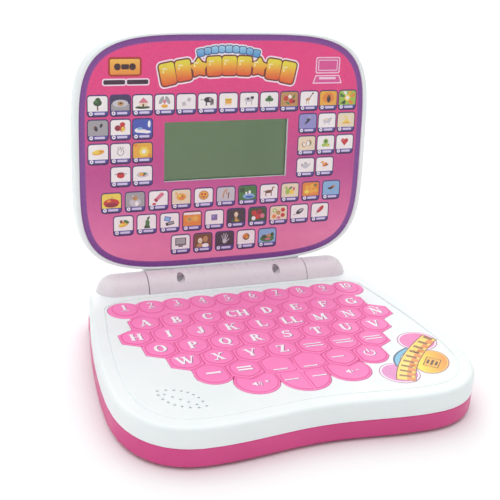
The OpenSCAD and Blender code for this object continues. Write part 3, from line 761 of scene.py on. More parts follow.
def lid_front():
    """Front half of the lid: rounded rim, recess for the card, display opening, barrel."""
    crest, floor, reach, plate_back = -2.3, CARD_H - 0.5, 2.3, -5.8
    across = lambda t: LID_OUTLINE + (CARD_OUTLINE - LID_OUTLINE) * t
    rings = insets(LID_OUTLINE, SPLIT_H, (2, plate_back - SPLIT_H), (2, 0), (0.4, 0), (0.1, 0.15), (0, 0.5))
    rings += [(across(0.5 * (1 - math.cos(a))), crest - reach * (1 - math.sin(a)))
              for a in np.radians(np.linspace(0, 90, 8))]
    rings += [(across(t), h) for t, h in ((0.8, crest), (0.9, crest - 0.06), (0.97, crest - 0.25),
                                          (1.0, crest - 0.55), (1.0, floor))]
    bm = bmesh.new()
    loft(bm, rings)
    wall, into = 1.6, plate_back + 0.1
    frame_box = box_tool((-LCD_HALF_W - wall, LCD_V - LCD_HALF_V - wall, SPLIT_H),
                         (LCD_HALF_W + wall, LCD_V + LCD_HALF_V + wall, into))
    posts = discs(LID_SCREWS, (POST_R, SPLIT_H), (POST_R, into))
    pilots = discs(LID_SCREWS, (PILOT_R, -9), (PILOT_R, -4.6))
    opening = box_tool((-LCD_HALF_W, LCD_V - LCD_HALF_V, -FAR), (LCD_HALF_W, LCD_V + LCD_HALF_V, FAR))
    wells = discs(BARREL_SCREWS, (HOLE_R, -FAR), (HOLE_R, 4), (3, 4), (3, FAR))
    bm = combined(bm, [("UNION", frame_box), ("UNION", posts), ("DIFFERENCE", knuckle_room()),
                       ("UNION", barrel_part(True)), ("UNION", neck(SPLIT_H, floor - 0.1)),
                       ("DIFFERENCE", opening), ("DIFFERENCE", pilots), ("DIFFERENCE", wells)])
    tint_barrel(bm, 0, 0)
    finished("lid_front_shell", bm, "lid", [WHITE, BARREL_PAINTED_REFLECTION], "white_shell", "lid_front")


def lid_back():
    """Back half of the lid with a soft edge, a shallow panel and four screw wells."""
    rings = insets(LID_OUTLINE, SPLIT_H, (2, BACK_H + 2 - SPLIT_H), (2, 0), (0.4, 0), (0.1, -0.15), (0, -0.5))
    rings += quarter_round(LID_OUTLINE, 2.6, BACK_H, -1)
    rings += insets(LID_OUTLINE, BACK_H, (8.8, 0), (9.3, 0.04), (9.8, 0.25), (10.3, 0.46), (10.8, 0.5))
    bm = bmesh.new()
    loft(bm, rings)
    posts = discs(LID_SCREWS, (POST_R + 1, BACK_H + 0.6), (POST_R + 1, SPLIT_H))
    wells = discs(LID_SCREWS, (HEAD_R + 0.8, BACK_H - 2), (HEAD_R + 0.5, BACK_H + 0.4),
                  (SEAT_R, BACK_H + 0.7), (SEAT_R, -11), (HOLE_R, -11), (HOLE_R, 0))
    bm = combined(bm, [("UNION", posts), ("DIFFERENCE", knuckle_room()), ("UNION", barrel_part(False)),
                       ("UNION", neck(BACK_H + 3, SPLIT_H)), ("DIFFERENCE", wells)])
    tint_barrel(bm, 0, 0)
    finished("lid_back_shell", bm, "lid", [WHITE, BARREL_PAINTED_REFLECTION], "white_shell", "lid_back")


lid_front()
lid_back()

# ---------- signs on the keys ----------

# Letters and digits are drawn from a few strokes on a grid that is one cap height tall.
THICK, THIN, SLAB = 0.24, 0.1, 0.085


def stem(x, y0=0.0, y1=1.0, w=THICK):
    return rect(x - w / 2, y0, x + w / 2, y1)


def bar(x0, x1, y, w=THIN):
    return rect(x0, y - w / 2, x1, y + w / 2)


def leg(x0, y0, x1, y1, w=THICK):
    """A slanting stroke with level ends."""
    return [(x0 - w / 2, y0), (x0 + w / 2, y0), (x1 + w / 2, y1), (x1 - w / 2, y1)]


def bow(x, y, rx, ry, start=0, end=360, thick=THICK, thin=THIN, count=24):
    """Part of an elliptical ring that is thick at the sides and thin at top and bottom."""
    angles = np.radians(np.linspace(start, end, count))
    outer = [(x + rx * math.cos(a), y + ry * math.sin(a)) for a in angles]
    inner = [(x + (rx - thick) * math.cos(a), y + (ry - thin) * math.sin(a)) for a in angles]
    return outer + inner[::-1]


def ring(x, y, rx, ry, thick=THICK, thin=THIN):
    return [bow(x, y, rx, ry, 0, 180, thick, thin), bow(x, y, rx, ry, 180, 360, thick, thin)]


def feet(*at, w=0.36):
    """Slab serifs centred on (x, 0) or (x, 1)."""
    return [rect(x - w / 2, y * (1 - SLAB), x + w / 2, SLAB + y * (1 - SLAB)) for x, y in at]


def upper_bowl(x):
    return [bow(x, 0.73, 0.36, 0.27, -90, 90), bar(0.15, x, 1 - THIN / 2), bar(0.15, x, 0.46 + THIN / 2)]


VEE = [leg(0.14, 1, 0.46, 0), leg(0.46, 0, 0.8, 1, THIN)]
E_TOP = [stem(0.22), bar(0.1, 0.76, 1 - THIN / 2), bar(0.2, 0.58, 0.52), stem(0.74, 0.74, 1, THIN),
         stem(0.57, 0.4, 0.64, THIN)]
# Each glyph: advance width and strokes
GLYPHS = {
    "A": (0.96, [leg(0.16, 0, 0.5, 1, THIN), leg(0.78, 0, 0.46, 1), bar(0.28, 0.7, 0.3)]
          + feet((0.16, 0), (0.78, 0))),
    "B": (0.84, [stem(0.22), bow(0.36, 0.27, 0.42, 0.27, -90, 90), bar(0.1, 0.36, THIN / 2)]
          + upper_bowl(0.34) + feet((0.18, 0))),
    "C": (0.84, [bow(0.48, 0.5, 0.44, 0.5, 42, 318), stem(0.79, 0.68, 0.98, THIN)]),
    "D": (0.9, [stem(0.22), bow(0.38, 0.5, 0.48, 0.5, -90, 90), bar(0.1, 0.38, THIN / 2),
                bar(0.1, 0.38, 1 - THIN / 2)]),
    "E": (0.84, E_TOP + [bar(0.1, 0.8, THIN / 2), stem(0.78, 0, 0.28, THIN)]),
    "F": (0.78, E_TOP + feet((0.24, 0), w=0.4)),
    "G": (0.92, [bow(0.48, 0.5, 0.44, 0.5, 42, 318), stem(0.79, 0.7, 0.98, THIN), stem(0.76, 0.04, 0.42)]
          + feet((0.74, 0.42), w=0.38)),
    "H": (1.0, [stem(0.22), stem(0.78), bar(0.2, 0.8, 0.5)] + feet((0.22, 0), (0.22, 1), (0.78, 0), (0.78, 1))),
    "I": (0.46, [stem(0.23)] + feet((0.23, 0), (0.23, 1), w=0.42)),
    "J": (0.66, [stem(0.42, 0.26), bow(0.26, 0.28, 0.265, 0.28, 180, 360), circle(0.12, 0.27, 0.11, 16)]
          + feet((0.42, 1), w=0.4)),
    "K": (0.98, [stem(0.22), leg(0.3, 0.4, 0.78, 1, THIN), leg(0.48, 0.62, 0.8, 0)]
          + feet((0.22, 0), (0.22, 1), (0.78, 1), (0.8, 0))),
    "L": (0.8, [stem(0.22), bar(0.1, 0.76, THIN / 2), stem(0.74, 0, 0.3, THIN)] + feet((0.22, 1))),
    "M": (1.16, [stem(0.18, w=THIN), leg(0.2, 1, 0.56, 0), leg(0.56, 0, 0.9, 1, THIN), stem(0.94)]
          + feet((0.17, 0), (0.17, 1), (0.95, 0), (0.95, 1), w=0.32)),
    "N": (0.98, [stem(0.18, w=THIN), leg(0.18, 1, 0.78, 0), stem(0.8, w=THIN)]
          + feet((0.18, 0), (0.14, 1), (0.8, 1))),
    "O": (0.96, ring(0.48, 0.5, 0.46, 0.5)),
    "P": (0.8, [stem(0.22)] + upper_bowl(0.38) + feet((0.24, 0), w=0.4)),
    "Q": (0.96, ring(0.48, 0.5, 0.46, 0.5) + [leg(0.46, 0.12, 0.84, -0.2, 0.18)]),
    "R": (0.96, [stem(0.22), leg(0.46, 0.5, 0.78, 0)] + upper_bowl(0.36) + feet((0.22, 0), (0.82, 0), w=0.34)),
    "S": (0.76, [bow(0.38, 0.73, 0.33, 0.27, 30, 270, 0.2, 0.13),
                 bow(0.36, 0.3, 0.36, 0.3, -150, 90, 0.2, 0.13),
                 stem(0.66, 0.7, 0.98, THIN), stem(0.06, 0.02, 0.3, THIN)]),
    "T": (0.84, [stem(0.42), bar(0.04, 0.8, 1 - THIN / 2), stem(0.07, 0.7, 1, THIN), stem(0.77, 0.7, 1, THIN)]
          + feet((0.42, 0), w=0.42)),
    "U": (0.96, [stem(0.22, 0.3), stem(0.78, 0.3, 1, THIN), bow(0.465, 0.3, 0.35, 0.3, 180, 360)]
          + feet((0.22, 1), (0.78, 1))),
    "V": (0.92, VEE + feet((0.14, 1), (0.8, 1))),
    "W": (1.4, VEE + [[(x + 0.5, y) for x, y in s] for s in VEE] + feet((0.14, 1), (0.62, 1), (1.3, 1))),
    "X": (0.94, [leg(0.2, 1, 0.74, 0), leg(0.18, 0, 0.74, 1, THIN)]
          + feet((0.18, 0), (0.2, 1), (0.75, 0), (0.74, 1))),
    "Y": (0.92, [leg(0.16, 1, 0.44, 0.42), leg(0.5, 0.42, 0.78, 1, THIN), stem(0.45, 0, 0.48)]
          + feet((0.16, 1), (0.78, 1), (0.45, 0))),
    "Z": (0.8, [leg(0.18, 0, 0.62, 1), bar(0.08, 0.72, 1 - THIN / 2), bar(0.06, 0.74, THIN / 2),
                stem(0.1, 0.72, 1, THIN), stem(0.73, 0, 0.28, THIN)]),
    "~": (0.96, [bow(0.34, 1.14, 0.16, 0.13, 20, 180, 0.09, 0.09),
                 bow(0.6, 1.24, 0.16, 0.13, 180, 340, 0.09, 0.09)]),
    "0": (0.66, ring(0.33, 0.5, 0.3, 0.5, 0.17)),
    "1": (0.5, [stem(0.26), leg(0.08, 0.78, 0.22, 1, 0.1)] + feet((0.26, 0), w=0.42)),
    "2": (0.66, [bow(0.31, 0.7, 0.28, 0.3, -35, 165, 0.18, 0.1), leg(0.1, 0, 0.48, 0.56, 0.12),
                 bar(0.04, 0.62, 0.07, 0.14)]),
    "3": (0.64, [bow(0.29, 0.75, 0.26, 0.25, -90, 150, 0.17, 0.1),
                 bow(0.28, 0.28, 0.3, 0.28, -150, 90, 0.18, 0.1)]),
    "4": (0.68, [stem(0.45, w=0.18), leg(0.05, 0.28, 0.42, 1, 0.09), bar(0.02, 0.64, 0.28, 0.1)]),
    "5": (0.64, [bar(0.12, 0.58, 0.93, 0.14), stem(0.15, 0.48, 1, 0.09),
                 bow(0.28, 0.3, 0.31, 0.3, -150, 115, 0.18, 0.1)]),
    "6": (0.66, ring(0.33, 0.3, 0.3, 0.3, 0.17) + [bow(0.55, 0.4, 0.52, 0.6, 90, 185, 0.17, 0.09)]),
    "7": (0.62, [bar(0.05, 0.6, 0.92, 0.15), leg(0.22, 0, 0.54, 0.92, 0.17)]),
    "8": (0.66, ring(0.33, 0.75, 0.25, 0.25, 0.15) + ring(0.33, 0.28, 0.3, 0.28, 0.16)),
    "9": (0.66, ring(0.33, 0.7, 0.3, 0.3, 0.17) + [bow(0.11, 0.6, 0.52, 0.6, -90, 5, 0.17, 0.09)]),
}


def written(signs, x, y, height):
    """Strokes of some signs side by side, centred about (x, y). A tilde goes over the sign before it."""
    strokes, at = [], 0.0
    for sign in signs:
        width, shapes = GLYPHS[sign]
        start = at - GLYPHS["N"][0] if sign == "~" else at
        strokes += [[(start + a, b - 0.5) for a, b in shape] for shape in shapes]
        at = max(at, start + width)
    return [[(x + height * (a - at / 2), y + height * b) for a, b in shape] for shape in strokes]


# ---------- keys ----------

CAP_UNDER, CAP_LEDGE, LEDGE_IN = 24.4, KEY_TOP - 0.4, 0.6
COLLAR_H, STEM_CUT = plan_box("key_a")[0].z, CAP_UNDER - 1.5
SHADOW = (0.5, -0.42)
# The last look is the darker pink of painted shade on the pads' lower slopes.
CAP_LOOKS = [PINK, SHADOW_INK, WHITE_INK, PINK_SLOPE_SHADE]


def pad_from(outline, base_in, top_in, base_r, top_r):
    """Foot and top loop of a raised pad inside an outline, with rounded corners."""
    corners = corners_of(outline)
    return (rounded(mitre_inset(outline, base_in), corners, base_r),
            rounded(mitre_inset(outline, top_in), corners, top_r))


def cap_outline(node):
    return simplified(loops_at(node, CAP_UNDER + 1)[0], 0.02)


def key_cap(node, pads, legend):
    """A key with a rounded edge, soft raised pads, printed signs and stems with collars."""
    outline = cap_outline(node)
    corners = corners_of(outline)
    bm = bmesh.new()
    rows = [(rounded(mitre_inset(outline, d), corners, 0.9), h)
            for d, h in ((-0.17, CAP_UNDER), (-0.17, CAP_LEDGE - 0.6), (-0.05, CAP_LEDGE - 0.28),
                         (0.25, CAP_LEDGE - 0.07), (LEDGE_IN, CAP_LEDGE))]
    loft(bm, rows, (True, False))
    add_painted(bm, [rows[-1][0]] + [foot for foot, _ in pads], CAP_LEDGE, [0] + [None] * len(pads))
    for foot, top in pads:
        foot, top = np.array(foot), np.array(top)
        before = len(bm.faces)
        loft(bm, [(foot + (top - foot) * t, CAP_LEDGE + (KEY_TOP - CAP_LEDGE) * smoothstep(t))
                  for t in (0, 0.2, 0.4, 0.6, 0.8, 1)], (False, False))
        bm.faces.ensure_lookup_table()
        # The pad's lower slope takes the darker pink, as painted shade.
        for face in bm.faces[before:before + 3 * len(foot)]:  # the lower three bands
            face.material_index = CAP_LOOKS.index(PINK_SLOPE_SHADE)
    tops = [top for _, top in pads]
    cast = [[(x + SHADOW[0], y + SHADOW[1]) for x, y in stroke] for stroke in legend]
    add_painted(bm, tops + cast + legend, KEY_TOP, [0] * len(tops) + [1] * len(cast) + [2] * len(legend))
    for x, y in centres(node, STEM_CUT):
        tube(bm, x, y, [(4.0, COLLAR_H), (4.2, COLLAR_H + 0.15), (4.2, COLLAR_H + 0.6),
                        (3.5, COLLAR_H + 0.6), (3.5, CAP_UNDER + 0.3)], 28)
    finished(node.replace("key", "cap", 1), bm, node, CAP_LOOKS, "key_pink", node)


def middle(node):
    low, high = plan_box(node)
    return (low.x + high.x) / 2, (low.y + high.y) / 2


def word(x, y, length, height=1.0):
    """A plain bar that stands for a word."""
    return rect(x - length / 2, y - height / 2, x + length / 2, y + height / 2)


def speaker_icon(x, y, waves):
    cone = [(-2.4, -0.8), (-1.3, -0.8), (0.5, -2.4), (0.5, 2.4), (-1.3, 0.8), (-2.4, 0.8)]
    return ([[(x + a, y + b) for a, b in cone]]
            + [bow(x + 0.6, y, 1.3 * k + 0.3, 1.5 * k + 0.4, -50, 50, 0.5, 0.5) for k in range(1, waves + 1)])


SIGNS = {"key_ch": "CH", "key_ll": "LL", "key_n_tilde": "N~"}
LEGENDS = {node: written(SIGNS.get(node, node[4:].upper()), *middle(node), 8.8)
           for node in NODES if node in SIGNS or (node.startswith("key_") and len(node) == 5)}
# The bars that stand for words: across and up from the key's middle, length, height
TWO_WORDS = ((0, 1.5, 12.5, 1.0), (0.4, -1.5, 12.5, 1.0))
WORDS = {"key_f1": TWO_WORDS, "key_f2": TWO_WORDS, "key_f3": TWO_WORDS,
         "key_f4": ((0, 1.5, 9.5, 1.7), (0, -1.5, 9.5, 1.7)), "key_f7": ((-1.8, -0.3, 8.6, 1.1),),
         "key_demo": ((0.8, 0, 9.4, 1.9),)}
for node, bars in WORDS.items():
    x, y = middle(node)
    LEGENDS[node] = [word(x + a, y + b, length, height) for a, b, length, height in bars]
x, y = middle("key_power")
LEGENDS["key_power"] = [bow(x - 0.6, y + 0.2, 3.9, 3.9, 125, 415, 0.95, 0.95, 32),
                        stem(x - 0.6, y + 0.9, y + 5.2, 1.0)]
x, y = middle("key_volume_up")
LEGENDS["key_volume_up"] = speaker_icon(x - 1.6, y - 1.2, 2) + [word(x + 5.6, y + 0.2, 2.4, 0.7),
                                                               stem(x + 5.6, y - 1.0, y + 1.4, 0.7)]
x, y = middle("key_volume_down")
LEGENDS["key_volume_down"] = speaker_icon(x - 1.2, y - 1.2, 1) + [word(x + 4.4, y - 0.4, 2.4, 0.7)]
LEGENDS["key_pad"] = [word(x, y, 9.4, 1.1)
                      for x, y in ((-11.2, -56.7), (8.6, -57.3), (-9.5, -69.8), (9.0, -69.6))]

PAD_CROSS = -61.2
HEX_PAD, QUARTER_PAD = (0.9, 2.2, 5.5, 7.0), (0.75, 1.8, 2.6, 3.6)
for node, legend in LEGENDS.items():
    outline = cap_outline(node)
    if node == "key_pad":
        quarters = [clipped(clipped(outline, 0, 0.0, sx), 1, PAD_CROSS, sy)
                    for sx in (-1, 1) for sy in (-1, 1)]
        pads = [pad_from(ccw(q), *QUARTER_PAD) for q in quarters]
    else:
        pads = [pad_from(outline, *HEX_PAD)]
    key_cap(node, pads, legend)

numbers = sorted(centres("number_keys", STEM_CUT))
number_signs = []
for i, (x, y) in enumerate(numbers):
    number_signs += written(str(i + 1), x, y + 2.6, 7.2) + [word(x, y - 2.6, 6.2, 0.6)]
key_cap("number_keys", [(circle(x, y, 8.9, 40, 9.9), circle(x, y, 7.6, 40, 8.6)) for x, y in numbers],
        number_signs)

# ---------- prints ----------


def fade(low, high, low_rgb, high_rgb, across=0, up=1):
    """A paint that runs from one colour to another, up the plan or along another direction."""
    def paint(x, y):
        t = min(max((across * x + up * y - low) / (high - low), 0), 1)
        return tuple(a + (b - a) * t for a, b in zip(low_rgb, high_rgb))
    return paint


def print_sheet(bm, shapes, top, under, hole=None, extra=()):
    """A thin sheet whose top carries the painted shapes; the first one is its outline."""
    ink = bm.loops.layers.float_color.new("ink")
    holes = [hole] if hole else []
    co, tris, tops = painted([points for points, _ in shapes] + holes, extra)
    verts = [bm.verts.new((*c, top)) for c in co]
    paints = [paint for _, paint in shapes] + [None] * len(holes)
    for tri, over in zip(tris, tops):
        paint = paints[over]
        if paint is None:
            continue
        for loop in bm.faces.new([verts[i] for i in tri]).loops:
            rgb = paint(loop.vert.co.x, loop.vert.co.y) if callable(paint) else paint
            loop[ink] = (*linear(rgb), 1)
    bmesh.ops.delete(bm, geom=[v for v in bm.verts if not v.link_faces], context="VERTS")
    first = len(bm.faces)
    add_painted(bm, [shapes[0][0]] + holes, under, [0, None][:1 + len(holes)], down=True)
    loft(bm, [(ccw(shapes[0][0]), under), (ccw(shapes[0][0]), top)], (False, False))
    for points in holes:
        loft(bm, [(ccw(points), top), (ccw(points), under)], (False, False))
    bm.faces.ensure_lookup_table()
    for face in bm.faces[first:]:
        face.smooth = False
        for loop in face.loops:
            loop[ink] = (*linear((235, 225, 235)), 1)


def outlined(points, *layers):
    """A shape printed in layers of (how far inside its edge, paint)."""
    return [(mitre_inset(ccw(points), d), paint) for d, paint in layers]


INKS = {"white": (250, 248, 246), "cream": (240, 226, 196), "grey": (168, 168, 170), "silver": (205, 205, 210),
        "dark": (52, 48, 56), "night": (58, 52, 92), "brown": (118, 74, 44), "tan": (196, 150, 92),
        "red": (206, 52, 48), "crimson": (150, 34, 52), "rose": (222, 120, 142), "orange": (236, 140, 48),
        "amber": (240, 178, 60), "yellow": (246, 220, 84), "lime": (166, 202, 76), "leaf": (64, 126, 56),
        "moss": (50, 84, 44), "teal": (84, 150, 148), "sky": (140, 186, 226), "blue": (66, 92, 186),
        "haze": (150, 150, 208), "violet": (132, 112, 168)}

# Each tile picture: its ground, then shapes as "kind ink numbers". Millimetres from the picture's
# middle. o: ellipse x y rx ry turn, b: box x y w h turn, t: three corners, f: flower x y r,
# h: heart x y r. A line that starts with a space belongs to the picture before it.
PICTURES = dict(row.split(": ") for row in """\
tree: white; b brown 0 -3 0.9 3; o moss 0 0.6 2.9 2.2; o moss 0.2 2.4 1.8 1.6; o leaf -0.8 1.4 1.2 0.9
dusk: night; b grey 0 -2.6 12.4 4.4; o silver 0 0 5.4 2.4; o tan 0.2 -0.2 2.2 1.5; o dark 0.3 0 0.8 0.5
house: white; o moss 0 -3.1 5.2 1; b cream 0.6 -1.2 5.4 2.6; t rose -3 0 0.6 3.6 4.2 0;
 b brown 0.4 -1.6 1.2 1.8
tent: white; o grey -2.2 1.4 1.3 3 -28; o grey 2.2 1.4 1.3 3 28; o rose 0 0.4 1 1.4; o amber 0 -2.6 2.4 1.2
dice: white; b silver -1.6 -1.4 2.8 2.8 20; b silver 2 1.4 2.6 2.6 -15; o grey -1.6 -1.4 0.4 0.4;
 o grey 2 1.4 0.4 0.4
elephant: white; o dark 0.6 1 3.2 1.9; b dark -0.8 -1.6 1 3; b dark 2.6 -1.4 1 3; o dark 3.9 -0.6 0.6 2.2;
 o grey 2 1.2 1 1.2; b dark -3.6 1 3 0.3 -8
cup: white; b amber 0 -0.4 4.6 3.4; b yellow 0 1.2 5.2 0.9; b brown 0 0.6 4.6 0.4; o cream 0 -2.8 3.2 0.5
cow: white; o silver 0 0.6 3.4 1.7; b silver -2 -1.8 0.9 2.8; b silver 2 -1.8 0.9 2.8; o dark 2.4 1.8 1.3 1;
 o dark -0.8 1 1 0.7
clover: white; o leaf -1.4 0 1.7 1.3; o leaf 1.4 0 1.7 1.3; o leaf 0 1.6 1.5 1.3; o moss 0 0.3 0.8 0.8;
 b moss 0.2 -1.8 0.4 2
flowers: tan; f red -2.6 0.6 1.8; f red 1.6 -1.4 1.8; f white 0.4 1.8 1.3; o leaf 3.4 1.6 1.8 0.6 60;
 o leaf -1 -2.8 1.8 0.6 -30; f crimson 3.4 -1.6 1.3
giraffe: white; o tan -0.8 -0.4 1.8 1 20; b tan -1.8 -2.6 0.4 2.8; b tan 0 -2.6 0.4 2.8;
 b brown 1.6 2 0.6 4.4 -35; o brown 3 3.8 0.9 0.5 -20
hive: amber; o orange 0 0.4 4.6 3.6; o dark 0.4 -0.4 1.5 2.8; o brown 0.4 1.2 1 1
rays: lime; t orange 0 0 5.8 4 5.8 0.6; t leaf 0 0 -5.8 3.8 -5.8 0.8; t moss 0 0 -5.6 -4 -2 -4.8;
 t orange 0 0 5.6 -4 2 -4.8; t amber 0 0 1 4.8 4 4.8; t white 0 0 -1 4.8 -3.8 4.8; f yellow 0 0 2.4;
 o white 0 0 1.4 1.3
pods: grey; o dark -1.4 -0.4 1.2 1.9 20; o dark 2.2 1.6 0.9 1.5 -25; o brown -2.2 0.4 0.7 0.7
apples: white; o crimson -1.8 -0.4 2.2 2; o red 1.4 2 1.9 1.6; o red 1.4 -0.8 2 2.2;
 o yellow 1.8 -1.2 1.3 1.7; o brown 1.8 -1.2 0.3 0.4
cloud: blue; o white -3 -2.4 2.6 1.6; o white 0 -3 3 1.3; o sky -2 -1.2 1.8 1; o white 4.6 1.8 1 2.4;
 o white 3 -3.6 2.8 1
dolphin: haze; o dark 0 0 2.8 0.8 42; t dark -0.4 0.6 1.6 1.6 -1.2 2; t dark -2.6 -1.4 -1.2 -2.8 -1.6 -1.2;
 b silver 1.8 3 0.5 2
lamb: white; o silver 0 0 3.2 1.8; o silver 3 1.4 1 0.8; b silver -1.8 -2 0.6 2.4; b silver 1.8 -2 0.6 2.4;
 o cream -0.8 0.8 1.6 0.8
cheese: cream; t yellow -3.6 -2.6 4 -2.6 0.8 1.4; t amber -3.6 -2.6 4 -2.6 0.8 -1; o cream 0.8 -0.6 0.5 0.4;
 o yellow -0.4 2.2 1.6 0.5
bread: white; o amber 0 -0.2 4.2 1.8 8; o yellow -0.8 0.2 3 1.2 8; o orange 1.8 0.4 1.4 0.6 8
clock: white; o grey 0 -0.6 2.5 2.5; o white 0 -0.6 1.9 1.9; b grey 0 2.6 1 1; b grey -1.8 2.4 1.4 0.6 35;
 b grey 1.8 2.4 1.4 0.6 -35; b dark 0.4 -0.2 0.3 1.4 -40
sun: amber; f yellow 1 -0.8 3.4; o white 1 -0.8 1.5 1.4; o orange -5 3.6 1.6 1; o orange 5.2 -3.8 1 1.2
onion: cream; o tan -2.2 -0.8 1.5 2 25; o white -1.9 -0.8 0.9 1.5 25; o tan 1.8 0.4 2.1 2.3;
 o white 1.4 0.2 1.3 1.8; o leaf 2.8 0.4 0.4 1.8 15
limes: white; o lime 0 1 2 2; f leaf 0 1 1.2; o lime -1.4 -1.8 1.7 1.2; o lime 1.6 -1.8 1.7 1.2;
 o yellow 1.6 -1.8 0.9 0.6
heart: white; h red 0 0.2 3; o rose -1.2 1.4 0.8 0.6 30
pot: white; o red 0 -0.6 2.8 2; o crimson 0 0.9 2.4 0.7; b dark 3.4 0.4 1.6 0.5; b dark -3.4 0.4 1.6 0.5
dish: white; o silver 0 -0.8 4.2 2; o amber -0.8 -0.4 1.8 1.1; o leaf 1.6 -0.2 1.2 0.8;
 o red 0.8 -1.4 0.8 0.5
kettle: white; o silver 0 -0.4 2.6 2; o grey 0 1.8 1.1 0.5; o silver 3 0.4 0.6 1.4 -35;
 o grey -2.8 0.2 0.6 1.2
canary: white; o orange 0.4 -0.2 2.2 1.4 25; o amber -1.6 1.6 1.1 1; t dark -2.6 1.6 -3.6 1.3 -2.6 1;
 o brown 1.8 -0.6 1.6 0.5 25
apple: yellow; o red 0 -1.4 5.6 3; o crimson 0 -3 4.6 1.6; o orange -1.8 0 1.6 0.9; b brown 0.4 2 0.4 1.6 -20
bear: grey; o silver 0 -2 4 2.8; o tan 0 1 2 1.7; o white 1.2 -3 1.2 1.6; o brown -0.6 1.2 0.4 0.3;
 o silver -1.6 2.6 0.7 0.6
pencil: white; b rose 0 0.4 7 2.6 42; b crimson -1.6 -1.4 1.6 2.4 42; o rose 2.4 2.6 1.6 1.4;
 o red -3 -4 1.4 0.8
noodles: cream; o amber 0 0 3.6 2.6; o orange 0.6 -0.6 2 1.5; o yellow -1 0.8 1.4 0.8;
 o brown 0.8 0.6 0.7 0.5; o amber -3.6 2.6 1 0.8
pizza: white; o tan 0 0.2 3.7 3.4; o amber 0 0.2 3.1 2.8; o red -1.2 1 0.8 0.7; o red 1.2 1 0.8 0.7;
 o red 0 -1.2 0.8 0.7; o brown -1.8 -0.8 0.5 0.4; o leaf 1.6 -0.8 0.5 0.4
flutes: silver; b tan -1.6 0.2 1 5.6 -12; b tan 0.4 1.4 0.8 4 18; b brown 2 -1 0.8 4.4 -8;
 o orange 0.6 3.2 0.7 0.5
lake: leaf; o sky 1 -2.4 4.6 2; b white 1.6 0.4 1.6 2.4; b white -1 -0.2 1.4 2; o moss -4 2.2 2 1.8;
 o blue 1.4 -3 3 0.8
dog: white; o brown -0.4 0 2.8 1.2 6; b brown -2.4 -2 0.7 2.6; b brown 1.8 -1.8 0.7 2.8;
 b brown 2.6 1.8 1 2.8 -12; o tan 3.4 3 1 0.6; b dark -3.6 0.4 1.8 0.4 30
pears: cream; o lime -1.8 -0.8 1.8 2.2 -20; o yellow 1.4 -1.2 1.8 2; o leaf 0.4 1.8 1.6 0.7 30;
 o rose 3 1 1 1.4; o lime -3 2 1 1
oranges: orange; o amber -2.8 1.4 1.9 1.7; o amber 1 2 1.9 1.7; o yellow -3.2 -2 1.9 1.7;
 o amber 0.4 -1.6 1.9 1.7; o amber 4 -1.2 1.9 1.7; o leaf 3.6 2.8 1.4 0.7 20
parrot: sky; o brown 0.4 0.2 2.4 1.1 25; o dark -1.2 -0.4 1.6 0.7 -20; o tan 2.2 1.4 0.9 0.7;
 t orange 3 1.6 4 1.2 3 1
banana: white; o amber 0 -0.8 3.6 1.6 15; o yellow -0.6 -0.4 2.6 1 15; o leaf 2 1.2 2.2 1.1 -25;
 o brown -1.6 1.4 1 1.2; o orange 0 0.6 1.2 0.8
statue: white; t moss -2.2 -4.6 2.6 -4.6 0.6 2; o leaf 0.6 -0.6 1.5 2.4 10; o moss 1 2.6 0.8 1;
 b moss 1.8 3.6 0.5 1.8
laptop: white; b dark 0.2 -2.2 6 2.4 12; b blue -1.6 1.2 4.6 3.4 -12; b sky -1.6 1.2 3.4 2.4 -12;
 b grey 0.8 -2 4 1.2 12
halves: orange; o amber -2 -0.2 2.4 2.2; o tan -2 -0.2 1.6 1.5; o amber 2.4 0.2 2.6 2.4;
 o cream 2.4 0.2 0.5 0.5; b white 0 3.9 12.4 1.6
square: white; b violet 0 0 4.6 4.4; b haze -0.8 0.8 1.8 1.6
bust: dark; o moss 0 -3.2 3.6 1.7; o tan 0 -1.8 1 1.6; o brown 0.2 1.4 1.9 2.4; o cream 0 1 1.4 1.8;
 o amber 0.8 -3.6 1.8 0.6; o dark -0.5 1.1 0.2 0.15; o dark 0.5 1.1 0.2 0.15; o tan 0 0.5 0.15 0.3;
 b crimson 0 0 0.7 0.2
roses: moss; f red -2.6 1.2 2; f crimson 1.4 1.8 2.2; f rose 3.8 -1.2 1.8; f white -3 -2.8 1.6;
 f red 0.2 -1.6 2
balls: cream; o lime -3 2 1.7 1.6; o red 3.4 2.2 1.7 1.6; o red 3.4 -1.8 1.7 1.6; o tan -0.2 0.2 1.8 1.7;
 o orange -3.4 -2.4 1.6 1.5; o white -3 2 0.8 0.7; o rose 0.2 -3.6 1.6 1
mouse: white; o dark 0.4 0.2 3.4 1.7 32; o grey 1.2 1 1.9 0.9 32; o silver 2 1.6 0.8 0.3 32;
 b dark -3.6 -2.2 2.4 0.3 10
umbrella: white; o red 0.4 0.8 3.6 1.5 44; b crimson 0.8 0.2 4.8 0.4 44; b dark -2 -1.8 3 0.4 48;
 o rose -0.6 0.8 1.4 0.5 44
screen: white; b dark 0 0.4 8 5.6; b grey 0 0.6 6.8 4.4; b dark 0 -3 3.4 0.9
family: brown; o tan -2 -3.6 2.6 1.4; o white 2 -3.8 2.6 1.6; o cream -2 0 1.7 2.1; o tan 2 1 1.8 2.2;
 o dark -2.6 0.1 0.2 0.2; o dark -1.4 0.1 0.2 0.2; b crimson -2 -1 0.8 0.2; o dark 1.4 1.1 0.2 0.2;
 o dark 2.6 1.1 0.2 0.2; b crimson 2 0 0.8 0.2
glove: dark; o silver 0 -1.8 1.6 1.7; b silver -1.7 1 0.5 4.2 18; b silver -0.5 1.8 0.5 5 5;
 b silver 0.7 1.8 0.5 4.8 -8; b silver 1.8 1 0.5 4 -20; b silver 2.6 -1 0.5 3 -45
puzzle: white; o brown 0 0.4 2.7 2.6; o orange -0.4 0.8 2 1.9; o amber 0.8 0 1.2 1; b brown 0 0.4 5 0.4 20
garden: sky; o leaf 0 -2.2 5.6 2.6; o moss -2.4 -0.8 2 1.6; o tan 1.6 0 2.2 1.2; o rose 0.6 -2.6 2.4 0.8;
 o moss 4 0.6 1.4 1.6
""".replace("\n ", " ").splitlines())
